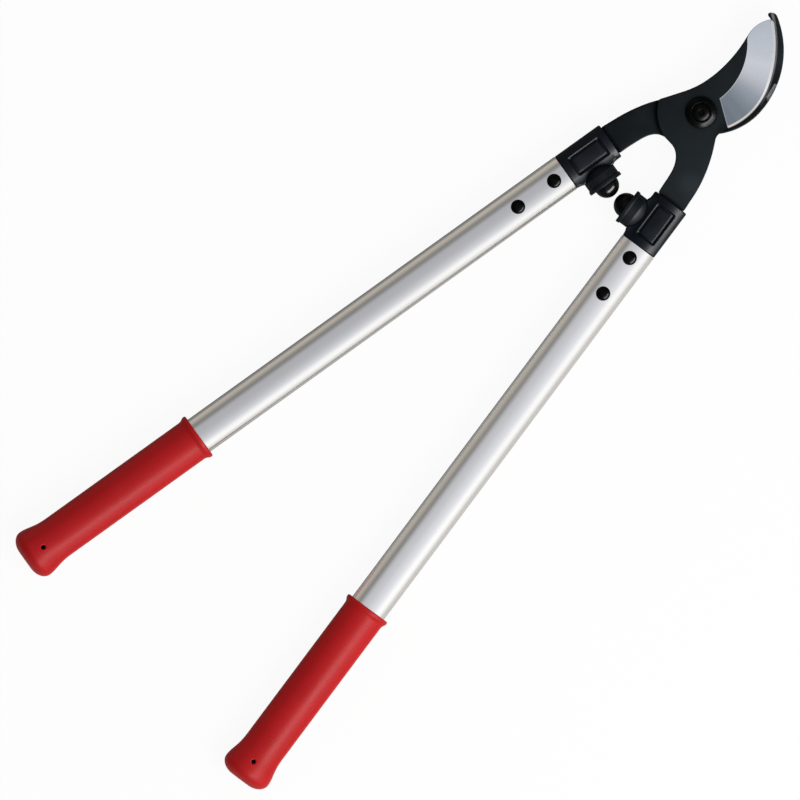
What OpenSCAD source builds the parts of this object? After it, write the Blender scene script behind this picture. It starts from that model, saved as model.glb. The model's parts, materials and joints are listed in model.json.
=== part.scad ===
// Bypass loppers, lying flat, seen from above: +Z up, +Y from the pivot
// towards the blade tips, +X to the right.  The origin is on the pivot axis,
// at the flat end of the pivot bolt, on the plane the tool rests on.
// Millimetres and degrees.

/* [Handles] */
// Angle of each handle from the centre line, degrees
handle_angle = 8.8; // [8.6:0.1:9.4]
// Width of the oval aluminium tube
tube_w = 27; // [26.6:0.1:27.4]
// Thickness of the oval aluminium tube
tube_h = 18; // [17.6:0.1:18.4]
// Wall of the tube
tube_wall = 1.5; // [1.2:0.1:1.7]
// Length from the pivot line to the far end of the tube
tube_end = 528; // [500:1:528]
// Length from the pivot line to the mouth of the grip
grip_start = 407; // [380:1:440]
// How far the soft grip stands out from the tube
grip_skin = 1.65; // [1.4:0.05:2]
// How far the butt of the grip swells out from its body
butt_flare = 2.75; // [2.2:0.05:3.2]
// Diameter of the small blind hole in the butt of the grip
grip_hole_d = 3; // [2.6:0.1:4]
// Depth of that hole, counted from the crown of the grip
grip_hole_depth = 10; // [6:0.5:14]
// Diameter of the domed rivet heads
rivet_head_d = 10; // [9:0.1:11.5]
// Diameter of the rivet shanks
rivet_d = 6; // [5:0.1:6.4]

/* [Blades] */
// Thickness of the cutting blade
blade_t = 4.4; // [4:0.1:4.8]
// Thickness of the hook
hook_t = 5; // [4.6:0.1:5]
// Gap between the two plates
plate_gap = 0.1; // [0.06:0.01:0.14]
// Drop of the hollow ground face across its width
grind_drop = 3.3; // [2.6:0.1:3.5]

/* [Pivot] */
// Diameter of the round pivot head
pivot_head_d = 21.2; // [20:0.2:23]
// Height of the pivot head
pivot_head_h = 3.8; // [3.2:0.1:4.4]
// Diameter of the bearing journal the blade turns on
journal_d = 12; // [11.9:0.1:12.6]
// Radial running clearance of the blade on the journal
journal_gap = 0.05; // [0.02:0.01:0.09]

/* [Collars and buffers] */
// Length from the pivot line to the front of the collar
collar_start = 58.7; // [58.4:0.1:59.2]
// Length from the pivot line to the rear of the collar
collar_end = 96.5; // [95.5:0.1:97]
// Diameter of the buffer cup behind its rim
cup_d = 24.2; // [23.6:0.1:24.8]
// How far the rim of the cup stands out
cup_rim = 0.75; // [0.4:0.05:1]
// Diameter of the rubber buffer
buffer_d = 17.5; // [17:0.1:17.8]
// How far the rubber can be pressed into its cup
buffer_travel = 1.5; // [1:0.1:1.6]

/* [Hidden] */
$fn = 72;

black = [0.09, 0.095, 0.10];
plastic = [0.13, 0.135, 0.14];
steel = [0.66, 0.68, 0.71];
aluminium = [0.80, 0.80, 0.81];
red = [0.72, 0.06, 0.08];

// Stations are lengths from the pivot line along a handle.
handle_x = 20.8;              // where a handle's axis crosses the pivot line
rest_z = -13.5;               // rest plane, counted from the blades' sliding plane
rivet_stations = [106.5, 137];
cup_station = 78.8;           // axis of the buffer and its cup
tang_inner = 6.3;             // tang edge on the cup side of the handle axis
tang_outer = 8;               // tang edge on the other side
tang_end = 147;               // station of the tang's end
tang_chamfer = 2;
shoulder_y = 0.1 - collar_start;  // where the blades narrow to their tangs
blade_top = plate_gap + blade_t;

// ---- curves ------------------------------------------------------------
function arc(centre, radius, from, to, steps) =
  [for (i = [0:steps])
    let (angle = from + (to - from) * i / steps)
      [centre[0] + radius * cos(angle), centre[1] + radius * sin(angle)]];

// Catmull-Rom spline between start and end
function spline_pt(before, start, end, after, t) =
  0.5 * (2 * start + (end - before) * t
         + (2 * before - 5 * start + 4 * end - after) * t * t
         + (3 * start - before - 3 * end + after) * t * t * t);
// point at index, held at the ends of the list
function pick(points, index) = points[max(0, min(len(points) - 1, index))];
// smooth curve through the points, without the last one
function flow(points, steps = 4) =
  [for (i = [0:len(points) - 2]) for (j = [0:steps - 1])
    spline_pt(pick(points, i - 1), points[i], points[i + 1], pick(points, i + 2), j / steps)];

// ---- frames ------------------------------------------------------------
// Pieces are drawn with the blades' sliding plane and the handle axes at
// height 0; this puts them on the rest plane.
module lift() translate([0, 0, -rest_z]) children();

// Handle frame: +X towards the other handle, -Y towards the butt
module at_left() translate([-handle_x, 0, 0]) rotate([0, 0, -handle_angle]) children();
module at_right() mirror([1, 0, 0]) at_left() children();
module on_left() lift() at_left() children();
module on_right() lift() at_right() children();
function left_pt(p) = [-handle_x + p[0] * cos(handle_angle) + p[1] * sin(handle_angle),
                       -p[0] * sin(handle_angle) + p[1] * cos(handle_angle)];
function right_pt(p) = let (q = left_pt(p)) [-q[0], q[1]];

// Buffer frame within a handle frame: +Z becomes the handle's +X
module across() translate([0, -cup_station, 0]) rotate([0, 90, 0]) children();
module across_bar(start, end, radius)
  across() translate([0, 0, start]) cylinder(h = end - start, r = radius);

module rivet_holes(clearance)
  for (station = rivet_stations)
    translate([0, -station, -12]) cylinder(h = 24, r = rivet_d / 2 + clearance);

// ---- tube oval: four tangent arcs --------------------------------------
end_radius = 6.5;
end_x = tube_w / 2 - end_radius;       // centre of an end arc
end_depth = tube_h / 2 - end_radius;   // from an end arc's top to the crown
side_z = (end_x * end_x - end_depth * end_depth) / (2 * end_depth);  // centre of a side arc
side_radius = side_z + tube_h / 2;
join_angle = atan2(side_z, end_x);     // where end and side arcs meet

module oval(grow) {
  join_x = end_x + (end_radius + grow) * cos(join_angle);
  translate([end_x, 0]) circle(r = end_radius + grow);
  translate([-end_x, 0]) circle(r = end_radius + grow);
  intersection() {
    translate([0, -side_z]) circle(r = side_radius + grow, $fn = 144);
    translate([0, side_z]) circle(r = side_radius + grow, $fn = 144);
    square([2 * join_x, 60], center = true);
  }
}
// oval bar along the handle between two stations
module oval_bar(start, end, grow)
  translate([0, -start, 0]) rotate([90, 0, 0]) linear_extrude(end - start) oval(grow);

// ---- cutting blade, on the right handle --------------------------------
low_edge_centre = [-22.3, 24.5];   // lower arc of the cutting edge
low_edge_radius = 47.2;
high_edge_centre = [-58.9, 7.3];   // upper arc, tangent to the lower
high_edge_radius = 87.64;
edge_join = atan2(low_edge_centre[1] - high_edge_centre[1],
                  low_edge_centre[0] - high_edge_centre[0]);
grind_centre = [-45.7, 21.9];      // inner border of the ground face
grind_radius = 48.3;
grind_width = 22;                  // over which the face falls by grind_drop
// [x, y] of the area that is ground; the first three points are the heel line
ground_outline = [[-40, 38.99], [20.61, 5.7], [60, -16.27], [60, 100], [-40, 100]];

// tang in the handle frame, from the inner shoulder round to the outer one
tang_line = [
  [tang_inner, shoulder_y], [tang_inner, tang_chamfer - tang_end],
  [tang_inner - tang_chamfer, -tang_end], [tang_chamfer - tang_outer, -tang_end],
  [-tang_outer, tang_chamfer - tang_end], [-tang_outer, shoulder_y]];

// [x, y] from the tip down the left side to the corner beside the pivot
blade_back = [
  [-10.2, 79.75], [-11.4, 79.5], [-12.7, 78.3], [-14, 76], [-15.3, 72.6], [-16.1, 68.5],
  [-16.0, 63.6], [-14.9, 58.6], [-13.6, 53], [-12.5, 46.5], [-11.9, 40], [-11.7, 33],
  [-12, 26], [-12.8, 20], [-14, 14], [-15.8, 8.3], [-18, 3], [-20.8, -2.6], [-24, -9],
  [-26.2, -13.2]];
blade_corner = [[-26.2, -13.2], [-26.55, -14.2], [-26.4, -15.1]];
// [x, y] from below the pivot to the inner shoulder
blade_neck_inner = [
  [-3.4, -29.75], [0.6, -29.75], [4, -30.2], [7.4, -31.8], [10.2, -34.3], [12.7, -37.8],
  [14.6, -42.2], [16, -47.5], [17.2, -53.3], right_pt([11.2, shoulder_y])];
// [x, y] from the outer shoulder up to the start of the cutting edge
blade_neck_outer = [
  right_pt([-10.7, shoulder_y]), [38.8, -49.5], [37.2, -42], [35.2, -35], [32.6, -28],
  [29.5, -21.2], [25.8, -14.4], [22.4, -9], [20, -5.4], [19.25, -3], [19.4, -0.6],
  [20.1, 2.4]];
blade_outline = concat(
  arc(low_edge_centre, low_edge_radius, -23.9, edge_join, 24),
  arc(high_edge_centre, high_edge_radius, edge_join + 0.8, 55.4, 26),
  flow(blade_back),
  blade_corner,
  arc([0, 0], 30.3, 210.6, 257, 12),
  flow(blade_neck_inner),
  [right_pt([11.2, shoulder_y])],
  [for (p = tang_line) right_pt(p)],
  flow(blade_neck_outer));

// everything above a cone that starts at radius, height top, and falls outwards
module cone_cut(centre, radius, top, slope, width)
  translate([centre[0], centre[1], 0]) rotate_extrude($fn = 144)
    polygon([[radius, top], [radius + width, top - slope * width],
             [radius + width, blade_top + 3], [radius, blade_top + 3]]);

// fine bevel along one arc of the edge, between two directions
module edge_bevel(centre, radius, from, to) intersection() {
  cone_cut(centre, radius - 2.2, plate_gap + 1.5, slope = 0.56, width = 4);
  translate([0, 0, -1]) linear_extrude(20)
    polygon([centre, centre + 130 * [cos(from), sin(from)], centre + 130 * [cos(to), sin(to)]]);
}

module cutting_blade() color(steel) lift() difference() {
  difference() {
    difference() {
      translate([0, 0, plate_gap]) linear_extrude(blade_t) polygon(blade_outline);
      translate([0, 0, -2]) cylinder(h = 12, r = journal_d / 2 + journal_gap);
      at_right() rivet_holes(0.05);
      intersection() {
        cone_cut(grind_centre, grind_radius, blade_top, grind_drop / grind_width, width = 30);
        translate([0, 0, -1]) linear_extrude(20) polygon(ground_outline);
      }
    }
    edge_bevel(low_edge_centre, low_edge_radius, -23.2, edge_join);
  }
  edge_bevel(high_edge_centre, high_edge_radius, edge_join - 0.05, 58);
}

// ---- hook, on the left handle ------------------------------------------
bolt_square = 8.4;   // square part of the bolt, in the hook

// [x, y] from the tip, down the inner curve, past the left of the pivot, to
// the outer shoulder
hook_inner = [
  [-12.6, 84.3], [-14.2, 83.55], [-15.6, 82.5], [-16.35, 81.3], [-16.0, 80.3], [-15.0, 79.75],
  [-13.5, 79.6], [-11.8, 79.3], [-9.4, 77.3], [-3.6, 72.2], [2.4, 66], [7.8, 58.8],
  [12, 50.8], [14.6, 42], [15.4, 33], [14.3, 25.4], [11, 19.4], [6, 15.8], [0, 14.6],
  [-6, 14.2], [-11.4, 13.2], [-14.2, 10], [-16.2, 5.8], [-18.5, 0.6], [-21.2, -4.7],
  [-24.2, -10.4], [-26.5, -14.6], [-29.2, -19.4], [-32, -25.6], [-34.6, -32.4],
  [-36.9, -39.8], [-38.9, -48], left_pt([-11.2, shoulder_y])];
// [x, y] from the inner shoulder, below the pivot, to the start of the outer arc
hook_neck = [
  left_pt([10.8, shoulder_y]), [-18.2, -53.4], [-17, -47.6], [-15.7, -42], [-14.2, -37.4],
  [-12.2, -33.9], [-9.6, -31.3], [-6.6, -29.9], [-2.4, -28.4], [3.4, -25.6], [8.8, -21.4],
  [13.4, -15.8], [16.6, -9.6], [18.3, -4.9]];
hook_outline = concat(
  arc([-17.6, 26.5], 46.2, -38, 4, 22),
  arc([-34.9, 25.3], 63.5, 4.8, 68, 34),
  flow(hook_inner),
  [left_pt([-11.2, shoulder_y])],
  [for (i = [len(tang_line) - 1:-1:0]) left_pt(tang_line[i])],
  flow(hook_neck));
hook_patch = [[21.2, 50], [24.6, 51.5], [29.4, 42], [26.2, 38.3], [23.9, 39.6]];

module hook_blade() color(black) lift() difference() {
  translate([0, 0, -hook_t]) linear_extrude(hook_t) polygon(hook_outline);
  // shallow ground patch on the outer edge
  translate([0, 0, -0.7]) linear_extrude(3) polygon(hook_patch);
  // square hole that keeps the pivot bolt from turning
  translate([0, 0, -hook_t / 2])
    cube([bolt_square + 0.06, bolt_square + 0.06, hook_t + 4], center = true);
  at_left() rivet_holes(0.05);
}

// ---- pivot: bolt head on top, washers and nut under the hook -----------
stack_gap = 0.02;
washer_top = -hook_t - stack_gap;
washer_bottom = washer_top - 1.2;
lock_top = washer_bottom - stack_gap;
lock_bottom = lock_top - 1.6;
nut_lift = 0.3;        // nut above the rest plane
nut_flats = 13;        // across flats

module pivot_bolt() color(black) lift() {
  head_r = pivot_head_d / 2;
  head_z = blade_top + 0.05;
  rim_z = head_z + 0.9;
  crown_z = head_z + pivot_head_h;
  button_z = crown_z - 0.55;
  rotate_extrude($fn = 96) polygon(concat(
    // journal and rim
    [[0, 0], [journal_d / 2, 0], [journal_d / 2, head_z],
     [head_r - 0.3, head_z], [head_r, head_z + 0.3], [head_r, rim_z]],
    // rounded shoulder
    [for (i = [1:8]) let (t = i / 8)
      [head_r - (head_r - 6.9) * t, rim_z + (pivot_head_h - 1.5) * sin(90 * t)]],
    // ring groove
    [[6.5, crown_z - 1.3], [6.0, crown_z - 1.3], [5.6, button_z]],
    // raised centre with a round recess
    [for (i = [1:5]) let (t = i / 5) [5.6 - 3.2 * t, button_z + 0.55 * sin(90 * t)]],
    [[2.1, crown_z - 1.2], [0, crown_z - 1.2]]));
  translate([0, 0, -hook_t / 2]) cube([bolt_square, bolt_square, hook_t], center = true);
  translate([0, 0, rest_z]) cylinder(h = -rest_z - 0.5, r = 3.95);
}

module ring(bottom, top, inner_r, outer_r) translate([0, 0, bottom]) difference() {
  cylinder(h = top - bottom, r = outer_r);
  translate([0, 0, -1]) cylinder(h = top - bottom + 2, r = inner_r);
}
module pivot_washer() color(steel) lift()
  ring(washer_bottom, washer_top, inner_r = 4.2, outer_r = 9);

module pivot_lock_washer() color(steel) lift() difference() {
  ring(lock_bottom, lock_top, inner_r = 4.15, outer_r = 7);
  // slanting split
  rotate([0, 0, 200]) translate([5.5, 0, -hook_t - 2]) rotate([35, 0, 0])
    cube([8, 0.9, 6], center = true);
}

module pivot_nut() color(steel) translate([0, 0, nut_lift]) difference() {
  intersection() {
    cylinder(h = lock_bottom - stack_gap - rest_z - nut_lift,
             r = nut_flats / 2 / cos(30), $fn = 6);
    // chamfer of the lower corners
    rotate_extrude() polygon([[0, 0], [6.6, 0], [7.8, 0.7], [7.8, 8], [0, 8]]);
  }
  translate([0, 0, -1]) cylinder(h = 12, r = 4);
}

// ---- buffer cup and rubber buffer --------------------------------------
// places across the handle, counted from its axis
cup_face = 23.2;       // open face of the cup
pocket_floor = 15.2;   // floor of the wide bore in the cup
stem_floor = 9.6;      // floor of the narrow bore
dome_centre = 23.4;
stem_r = 3;
floor_gap = 0.1;

module cup_solid(grow) {
  radius = cup_d / 2 + grow;
  rim_r = radius + cup_rim;
  // body, its root rounded by a sphere
  intersection() {
    across() translate([0, 0, 4]) cylinder(h = 17.2, r = radius, $fn = 96);
    translate([22.3, -cup_station, 0]) sphere(r = 14.3 + grow, $fn = 96);
  }
  across() rotate_extrude($fn = 96)
    polygon([[0, 19], [radius - 0.4, 19], [radius - 0.4, 20], [rim_r - 0.2, 20.6],
             [rim_r, 20.9], [rim_r, cup_face - 0.5], [rim_r - 0.5, cup_face], [0, cup_face]]);
}
module buffer_cup() color(plastic) difference() {
  cup_solid(0);
  across_bar(pocket_floor, cup_face + 5, buffer_d / 2 + 0.06);
  across_bar(stem_floor, cup_face, stem_r + 0.06);
}
module left_buffer_cup() on_left() buffer_cup();
module right_buffer_cup() on_right() buffer_cup();

module rubber_buffer() color(black) across() {
  back = pocket_floor + floor_gap + buffer_travel;
  rotate_extrude($fn = 96) {
    translate([0, dome_centre]) intersection() {
      circle(r = buffer_d / 2, $fn = 96);
      square([20, 20]);
    }
    translate([0, back]) square([buffer_d / 2, dome_centre - back]);
    translate([0, stem_floor + floor_gap + buffer_travel]) square([stem_r, 8]);
  }
}
module left_buffer() on_left() rubber_buffer();
module right_buffer() on_right() rubber_buffer();

// ---- collar, moulded in one with the spigot inside the tube ------------
slot_gap = 0.06;       // round the tang
saddle_outline = [
  [6, -62], [12.2, -62.4], [12.9, -64.6], [14.4, -66.4],
  [14.4, -91.3], [13.1, -93.4], [12.3, -96], [6, -96]];

module rounded_box(half_x, half_y, radius) {
  for (sx = [-1, 1]) for (sy = [-1, 1])
    translate([sx * (half_x - radius), sy * (half_y - radius)]) circle(r = radius, $fn = 32);
  square([2 * half_x, 2 * (half_y - radius)], center = true);
  square([2 * (half_x - radius), 2 * half_y], center = true);
}
// collar slotted for a tang between two heights
module collar(slot_bottom, slot_top) color(plastic) difference() {
  union() {
    oval_bar(collar_start, collar_start + 0.5, -1);
    oval_bar(collar_start + 0.4, collar_start + 1, -0.5);
    oval_bar(collar_start + 0.9, collar_end, -0.15);
    // spigot
    oval_bar(collar_end - 0.5, tang_end + 1.5, -tube_wall - 0.06);
    // saddle that carries the cup
    translate([0, 0, -7]) linear_extrude(14) polygon(saddle_outline);
  }
  translate([-tang_outer - slot_gap, -tang_end - 3, slot_bottom - slot_gap])
    cube([tang_outer + tang_inner + 2 * slot_gap, tang_end + 3 - collar_start + 2,
          slot_top - slot_bottom + 2 * slot_gap]);
  // rectangular groove round a raised pad, on the upper and lower faces
  for (side = [0, 1]) mirror([0, 0, side]) difference() {
    translate([-0.6, -77.3, 3]) linear_extrude(12) difference() {
      rounded_box(8.3, 13.3, 1.4);
      rounded_box(5.5, 11.3, 1);
    }
    oval_bar(collar_start - 1, collar_end + 1, -1.3);
  }
  cup_solid(0.04);
  rivet_holes(0.04);
}
module left_collar() on_left() collar(-hook_t, 0);
module right_collar() on_right() collar(plate_gap, blade_top);

// ---- tube --------------------------------------------------------------
module tube() color(aluminium) difference() {
  oval_bar(collar_end + 0.02, tube_end, 0);
  oval_bar(collar_end - 2, tube_end + 2, -tube_wall);
  rivet_holes(0.03);
}
module left_tube() on_left() tube();
module right_tube() on_right() tube();

// ---- rivets: domed heads saddled on the tube, flatter tails below ------
module rivet_dome(radius, rise, steps)
  rotate_extrude($fn = 72) polygon(concat(
    [[0, 7.9], [radius, 7.9], [radius, 8.9]],
    [for (i = [1:steps]) let (a = 90 * i / steps) [radius * cos(a), 8.9 + rise * sin(a)]]));
module rivet() {
  cylinder(h = tube_h, r = rivet_d / 2, center = true);
  difference() {
    union() {
      rivet_dome(rivet_head_d / 2, rise = 3, steps = 9);
      mirror([0, 0, 1]) rivet_dome(4.7, rise = 1.6, steps = 6);
    }
    oval_bar(-20, 20, 0.02);
  }
}
module rivets() color(black)
  for (station = rivet_stations) translate([0, -station, 0]) rivet();
module left_rivets() on_left() rivets();
module right_rivets() on_right() rivets();

// ---- plug that closes the butt end of the tube -------------------------
plug_cap = 2.6;        // how far it stands beyond the tube

module tube_plug() color(plastic) {
  oval_bar(tube_end - 9, tube_end + 0.5, -tube_wall - 0.05);
  oval_bar(tube_end + 0.03, tube_end + plug_cap, -0.05);
}
module left_tube_plug() on_left() tube_plug();
module right_tube_plug() on_right() tube_plug();

// ---- soft grip ---------------------------------------------------------
swell_start = 525;     // station where the butt begins to swell
swell_length = 21;
swell_end = swell_start + swell_length;
grip_hole_station = 538.5;
arc_steps = 12;        // points on each of the oval's four arcs

// skin over the tube at t = 0..1 along the swell
function butt_skin(t) = grip_skin + butt_flare * (1 - cos(180 * pow(t, 1.35))) / 2;
// surface height above the handle axis at the hole
butt_crown = side_radius - side_z + butt_skin((grip_hole_station - swell_start) / swell_length);

// [station, skin over the tube]: lip at the mouth, body, swell, rounded end
grip_profile = concat(
  [[grip_start, grip_skin + 1.1], [grip_start + 0.7, grip_skin + 1.6],
   [grip_start + 2.2, grip_skin + 1.6], [grip_start + 3.2, grip_skin + 1.1],
   [grip_start + 4.4, grip_skin + 0.3], [grip_start + 6.5, grip_skin]],
  [for (i = [0:9]) let (t = i / 9) [swell_start + swell_length * t, butt_skin(t)]],
  [for (i = [1:9]) let (a = 90 * i / 9)
    [swell_end + 8.2 * sin(a), grip_skin + butt_flare - 11 * (1 - cos(a))]]);

// point i of the oval grown by grow, counted round from the +X end arc
function oval_pt(i, grow) =
  let (quarter = floor(i / arc_steps),
       t = (i % arc_steps) / arc_steps,
       is_end = quarter % 2 == 0,
       half_turn = quarter < 2 ? 0 : 180,
       sign = quarter < 2 ? 1 : -1,
       a = half_turn + (is_end ? -join_angle + 2 * join_angle * t
                               : join_angle + (180 - 2 * join_angle) * t),
       radius = grow + (is_end ? end_radius : side_radius),
       centre = sign * (is_end ? [end_x, 0] : [0, -side_z]))
  centre + radius * [cos(a), sin(a)];

// solid through grown ovals, one for each [station, grow] of the profile
module oval_loft(profile) {
  n = 4 * arc_steps;
  last = len(profile) - 1;
  polyhedron(
    points = [for (p = profile) for (i = [0:n - 1])
      let (q = oval_pt(i, p[1])) [q[0], -p[0], q[1]]],
    faces = concat(
      [[for (i = [0:n - 1]) i]],
      [for (k = [0:last - 1]) for (i = [0:n - 1]) let (j = (i + 1) % n)
        [k * n + j, k * n + i, (k + 1) * n + i, (k + 1) * n + j]],
      [[for (i = [n - 1:-1:0]) last * n + i]]));
}
module grip() color(red) difference() {
  oval_loft(grip_profile);
  oval_bar(grip_start - 2, tube_end + plug_cap + 0.1, 0.05);
  translate([0, -grip_hole_station, butt_crown - grip_hole_depth])
    cylinder(h = 30, r = grip_hole_d / 2);
}
module left_grip() on_left() grip();
module right_grip() on_right() grip();

cutting_blade();
hook_blade();
pivot_bolt();
pivot_washer();
pivot_lock_washer();
pivot_nut();
left_collar();
right_collar();
left_buffer_cup();
right_buffer_cup();
left_buffer();
right_buffer();
left_tube();
right_tube();
left_rivets();
right_rivets();
left_tube_plug();
right_tube_plug();
left_grip();
right_grip();
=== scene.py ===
"""Bypass loppers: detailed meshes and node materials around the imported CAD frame.

The tool lies flat with z up and the pivot near the origin. The blades point along +y and the
handles run towards -y, the left one on the -x side, the right one its mirror image.
Lengths in the geometry code are millimetres; make() turns them into metres.
Node trees, lights and the camera are in metres.

Handle frame: x across the handle towards the other one, y along it with the butt at -y,
z up from the blades' sliding plane. A "station" is a distance along the handle, that is -y.
"""
import bpy
import json
import math
import numpy as np
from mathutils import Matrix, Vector
from mathutils.geometry import delaunay_2d_cdt

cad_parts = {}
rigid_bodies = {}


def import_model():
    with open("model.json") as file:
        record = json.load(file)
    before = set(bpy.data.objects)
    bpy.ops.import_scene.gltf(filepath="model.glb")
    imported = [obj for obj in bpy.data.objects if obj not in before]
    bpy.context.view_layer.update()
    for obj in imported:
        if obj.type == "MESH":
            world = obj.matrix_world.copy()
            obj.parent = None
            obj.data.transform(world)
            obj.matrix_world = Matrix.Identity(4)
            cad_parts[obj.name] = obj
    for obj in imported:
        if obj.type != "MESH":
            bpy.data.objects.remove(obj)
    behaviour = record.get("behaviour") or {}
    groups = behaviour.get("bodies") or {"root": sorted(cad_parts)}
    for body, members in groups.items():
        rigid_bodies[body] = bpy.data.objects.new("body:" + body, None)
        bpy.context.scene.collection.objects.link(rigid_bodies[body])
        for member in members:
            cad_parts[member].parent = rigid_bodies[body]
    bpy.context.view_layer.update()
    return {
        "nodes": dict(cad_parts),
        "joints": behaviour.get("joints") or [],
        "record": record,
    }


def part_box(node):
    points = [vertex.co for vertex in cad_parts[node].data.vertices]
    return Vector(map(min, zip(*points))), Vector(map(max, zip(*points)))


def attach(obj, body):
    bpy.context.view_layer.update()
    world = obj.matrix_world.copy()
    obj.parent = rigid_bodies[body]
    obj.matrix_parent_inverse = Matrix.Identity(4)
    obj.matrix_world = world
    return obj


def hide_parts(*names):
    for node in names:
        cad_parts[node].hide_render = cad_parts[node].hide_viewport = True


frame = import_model()
joints = {joint["name"]: joint for joint in frame["joints"]}
mounts = {mount["name"]: mount for mount in frame["record"]["mounts"]}

# ---------------------------------------------------------------- handle frame
PIVOT = np.array(joints["blade_pivot"]["pos_m"], float) * 1000.0
SLIDE_Z = PIVOT[2]
ACROSS = -np.array(joints["left_buffer_press"]["axis"], float)
LEAN = math.asin(-ACROSS[1])
LEAN_COS, LEAN_SIN = math.cos(LEAN), math.sin(LEAN)
cord_hole = mounts["left_cord_hole"]
HOLE = np.array(cord_hole["pos_m"], float) * 1000.0
HOLE_R = cord_hole["dims"]["r_mm"]
HOLE_AT = -HOLE[1] / LEAN_COS
AXIS_X = -(HOLE[0] + HOLE_AT * LEAN_SIN)        # the left handle's axis meets y = 0 at -AXIS_X
BODIES = {"left": "hook_side", "right": "blade_side"}


def cad_points(node):
    """Vertices of a CAD node, in millimetres."""
    return np.array([v.co for v in frame["nodes"][node].data.vertices], float) * 1000.0


def handle_points(node):
    """Vertices of a left-handle CAD node in the handle frame."""
    x, y, z = cad_points(node).T
    x = x + AXIS_X
    return np.stack([x * LEAN_COS - y * LEAN_SIN, x * LEAN_SIN + y * LEAN_COS, z - SLIDE_Z], 1)


def extent(node):
    points = handle_points(node)
    return points.min(0), points.max(0)


def to_world(points, side):
    """From the handle frame to the tool's place; the right side is mirrored."""
    x, y, z = np.asarray(points, float).T
    world = np.stack([-AXIS_X + x * LEAN_COS + y * LEAN_SIN,
                      -x * LEAN_SIN + y * LEAN_COS, z + SLIDE_Z], 1)
    if side == "right":
        world[:, 0] *= -1
    return world


def box_mm(node):
    low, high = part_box(node)
    return np.array(low) * 1000.0, np.array(high) * 1000.0


# ---------------------------------------------------------------- sizes taken from the CAD
tube_low, tube_high = extent("left_tube")
collar_high = extent("left_collar")[1]
grip_low, grip_high = extent("left_grip")
cup_low, cup_high = extent("left_buffer_cup")
buffer_low, buffer_high = extent("left_buffer")
TUBE_W, TUBE_H = tube_high[0] - tube_low[0], tube_high[2] - tube_low[2]
TUBE_FRONT, TUBE_END = -tube_high[1], -tube_low[1]
COLLAR_FRONT = -collar_high[1]
GRIP_FRONT, GRIP_END = -grip_high[1], -grip_low[1]
CUP_AT = -(cup_low[1] + cup_high[1]) / 2
CUP_FACE = cup_high[0]
CUP_R = (cup_high[1] - cup_low[1]) / 2
BUFFER_BACK = buffer_low[0]
BUFFER_R = (buffer_high[1] - buffer_low[1]) / 2
BUFFER_C = buffer_high[0] - BUFFER_R            # x of the rubber dome's centre

rivet_points = handle_points("left_rivets")
RIVET_TAIL, RIVET_TOP = rivet_points[:, 2].min(), rivet_points[:, 2].max()


def middle_station(points):
    return -(points[:, 1].max() + points[:, 1].min()) / 2


rivet_tops = rivet_points[rivet_points[:, 2] > RIVET_TOP - 0.05]
front_rivet = -np.round(rivet_tops[:, 1], 0).max()
near_points = rivet_points[np.abs(rivet_points[:, 1] + front_rivet) < 12]
RIVET_R = (near_points[:, 1].max() - near_points[:, 1].min()) / 2
front_rivet = middle_station(near_points)
far_points = rivet_points[np.abs(rivet_points[:, 1] + front_rivet) > 12]
RIVETS_AT = [front_rivet, middle_station(far_points)]

blade_low, blade_high = box_mm("cutting_blade")
hook_low, hook_high = box_mm("hook_blade")
bolt_low, bolt_high = box_mm("pivot_bolt")
BLADE_BOT, BLADE_TOP = blade_low[2], blade_high[2]
HOOK_BOT, HOOK_TOP = hook_low[2], hook_high[2]

# ---------------------------------------------------------------- oval tube section
# Four tangent arcs: two tight ends centred on the x axis, two wide sides centred on the z axis.
END_R = 6.5
END_X = TUBE_W / 2 - END_R
side_rise = TUBE_H / 2 - END_R
SIDE_Z = (END_X * END_X - side_rise * side_rise) / (2 * side_rise)
SIDE_R = SIDE_Z + TUBE_H / 2
JOIN = math.atan2(SIDE_Z, END_X)                # angle where end and side meet


def oval_sdf(x, z):
    x, z = np.abs(x), np.abs(z)
    at_end = np.arctan2(z, x - END_X) < JOIN
    return np.where(at_end, np.hypot(x - END_X, z) - END_R, np.hypot(x, z + SIDE_Z) - SIDE_R)


def oval_ring(count, grow):
    """About count points round the oval grown by grow, closer together on the tight ends."""
    points = []
    # centre x, centre z, radius, first angle, last angle, share of the points
    arcs = [(END_X, 0.0, END_R, -JOIN, JOIN, 0.28),
            (0.0, -SIDE_Z, SIDE_R, JOIN, math.pi - JOIN, 0.22),
            (-END_X, 0.0, END_R, math.pi - JOIN, math.pi + JOIN, 0.28),
            (0.0, SIDE_Z, SIDE_R, math.pi + JOIN, 2 * math.pi - JOIN, 0.22)]
    for mid_x, mid_z, radius, start, end, share in arcs:
        steps = int(round(count * share))
        for i in range(steps):
            angle = start + (end - start) * i / steps
            points.append((mid_x + (radius + grow) * math.cos(angle),
                           mid_z + (radius + grow) * math.sin(angle)))
    return np.array(points)


# ---------------------------------------------------------------- signed distances
def round_and(one, two, fillet):
    return (np.minimum(-fillet, np.maximum(one, two))
            + np.hypot(np.maximum(one + fillet, 0), np.maximum(two + fillet, 0)))


def round_or(one, two, fillet):
    return (np.maximum(fillet, np.minimum(one, two))
            - np.hypot(np.maximum(fillet - one, 0), np.maximum(fillet - two, 0)))


def round_cut(body, tool, fillet):
    return round_and(body, -tool, fillet)


def rounded_box(x, y, span_x, mid_y, half_y, corner):
    dx = np.abs(x - (span_x[0] + span_x[1]) / 2) - (span_x[1] - span_x[0]) / 2 + corner
    dy = np.abs(y - mid_y) - half_y + corner
    outside = np.hypot(np.maximum(dx, 0), np.maximum(dy, 0))
    return outside + np.minimum(np.maximum(dx, dy), 0) - corner


def slab(value, low, high):
    return np.abs(value - (low + high) / 2) - (high - low) / 2


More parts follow.
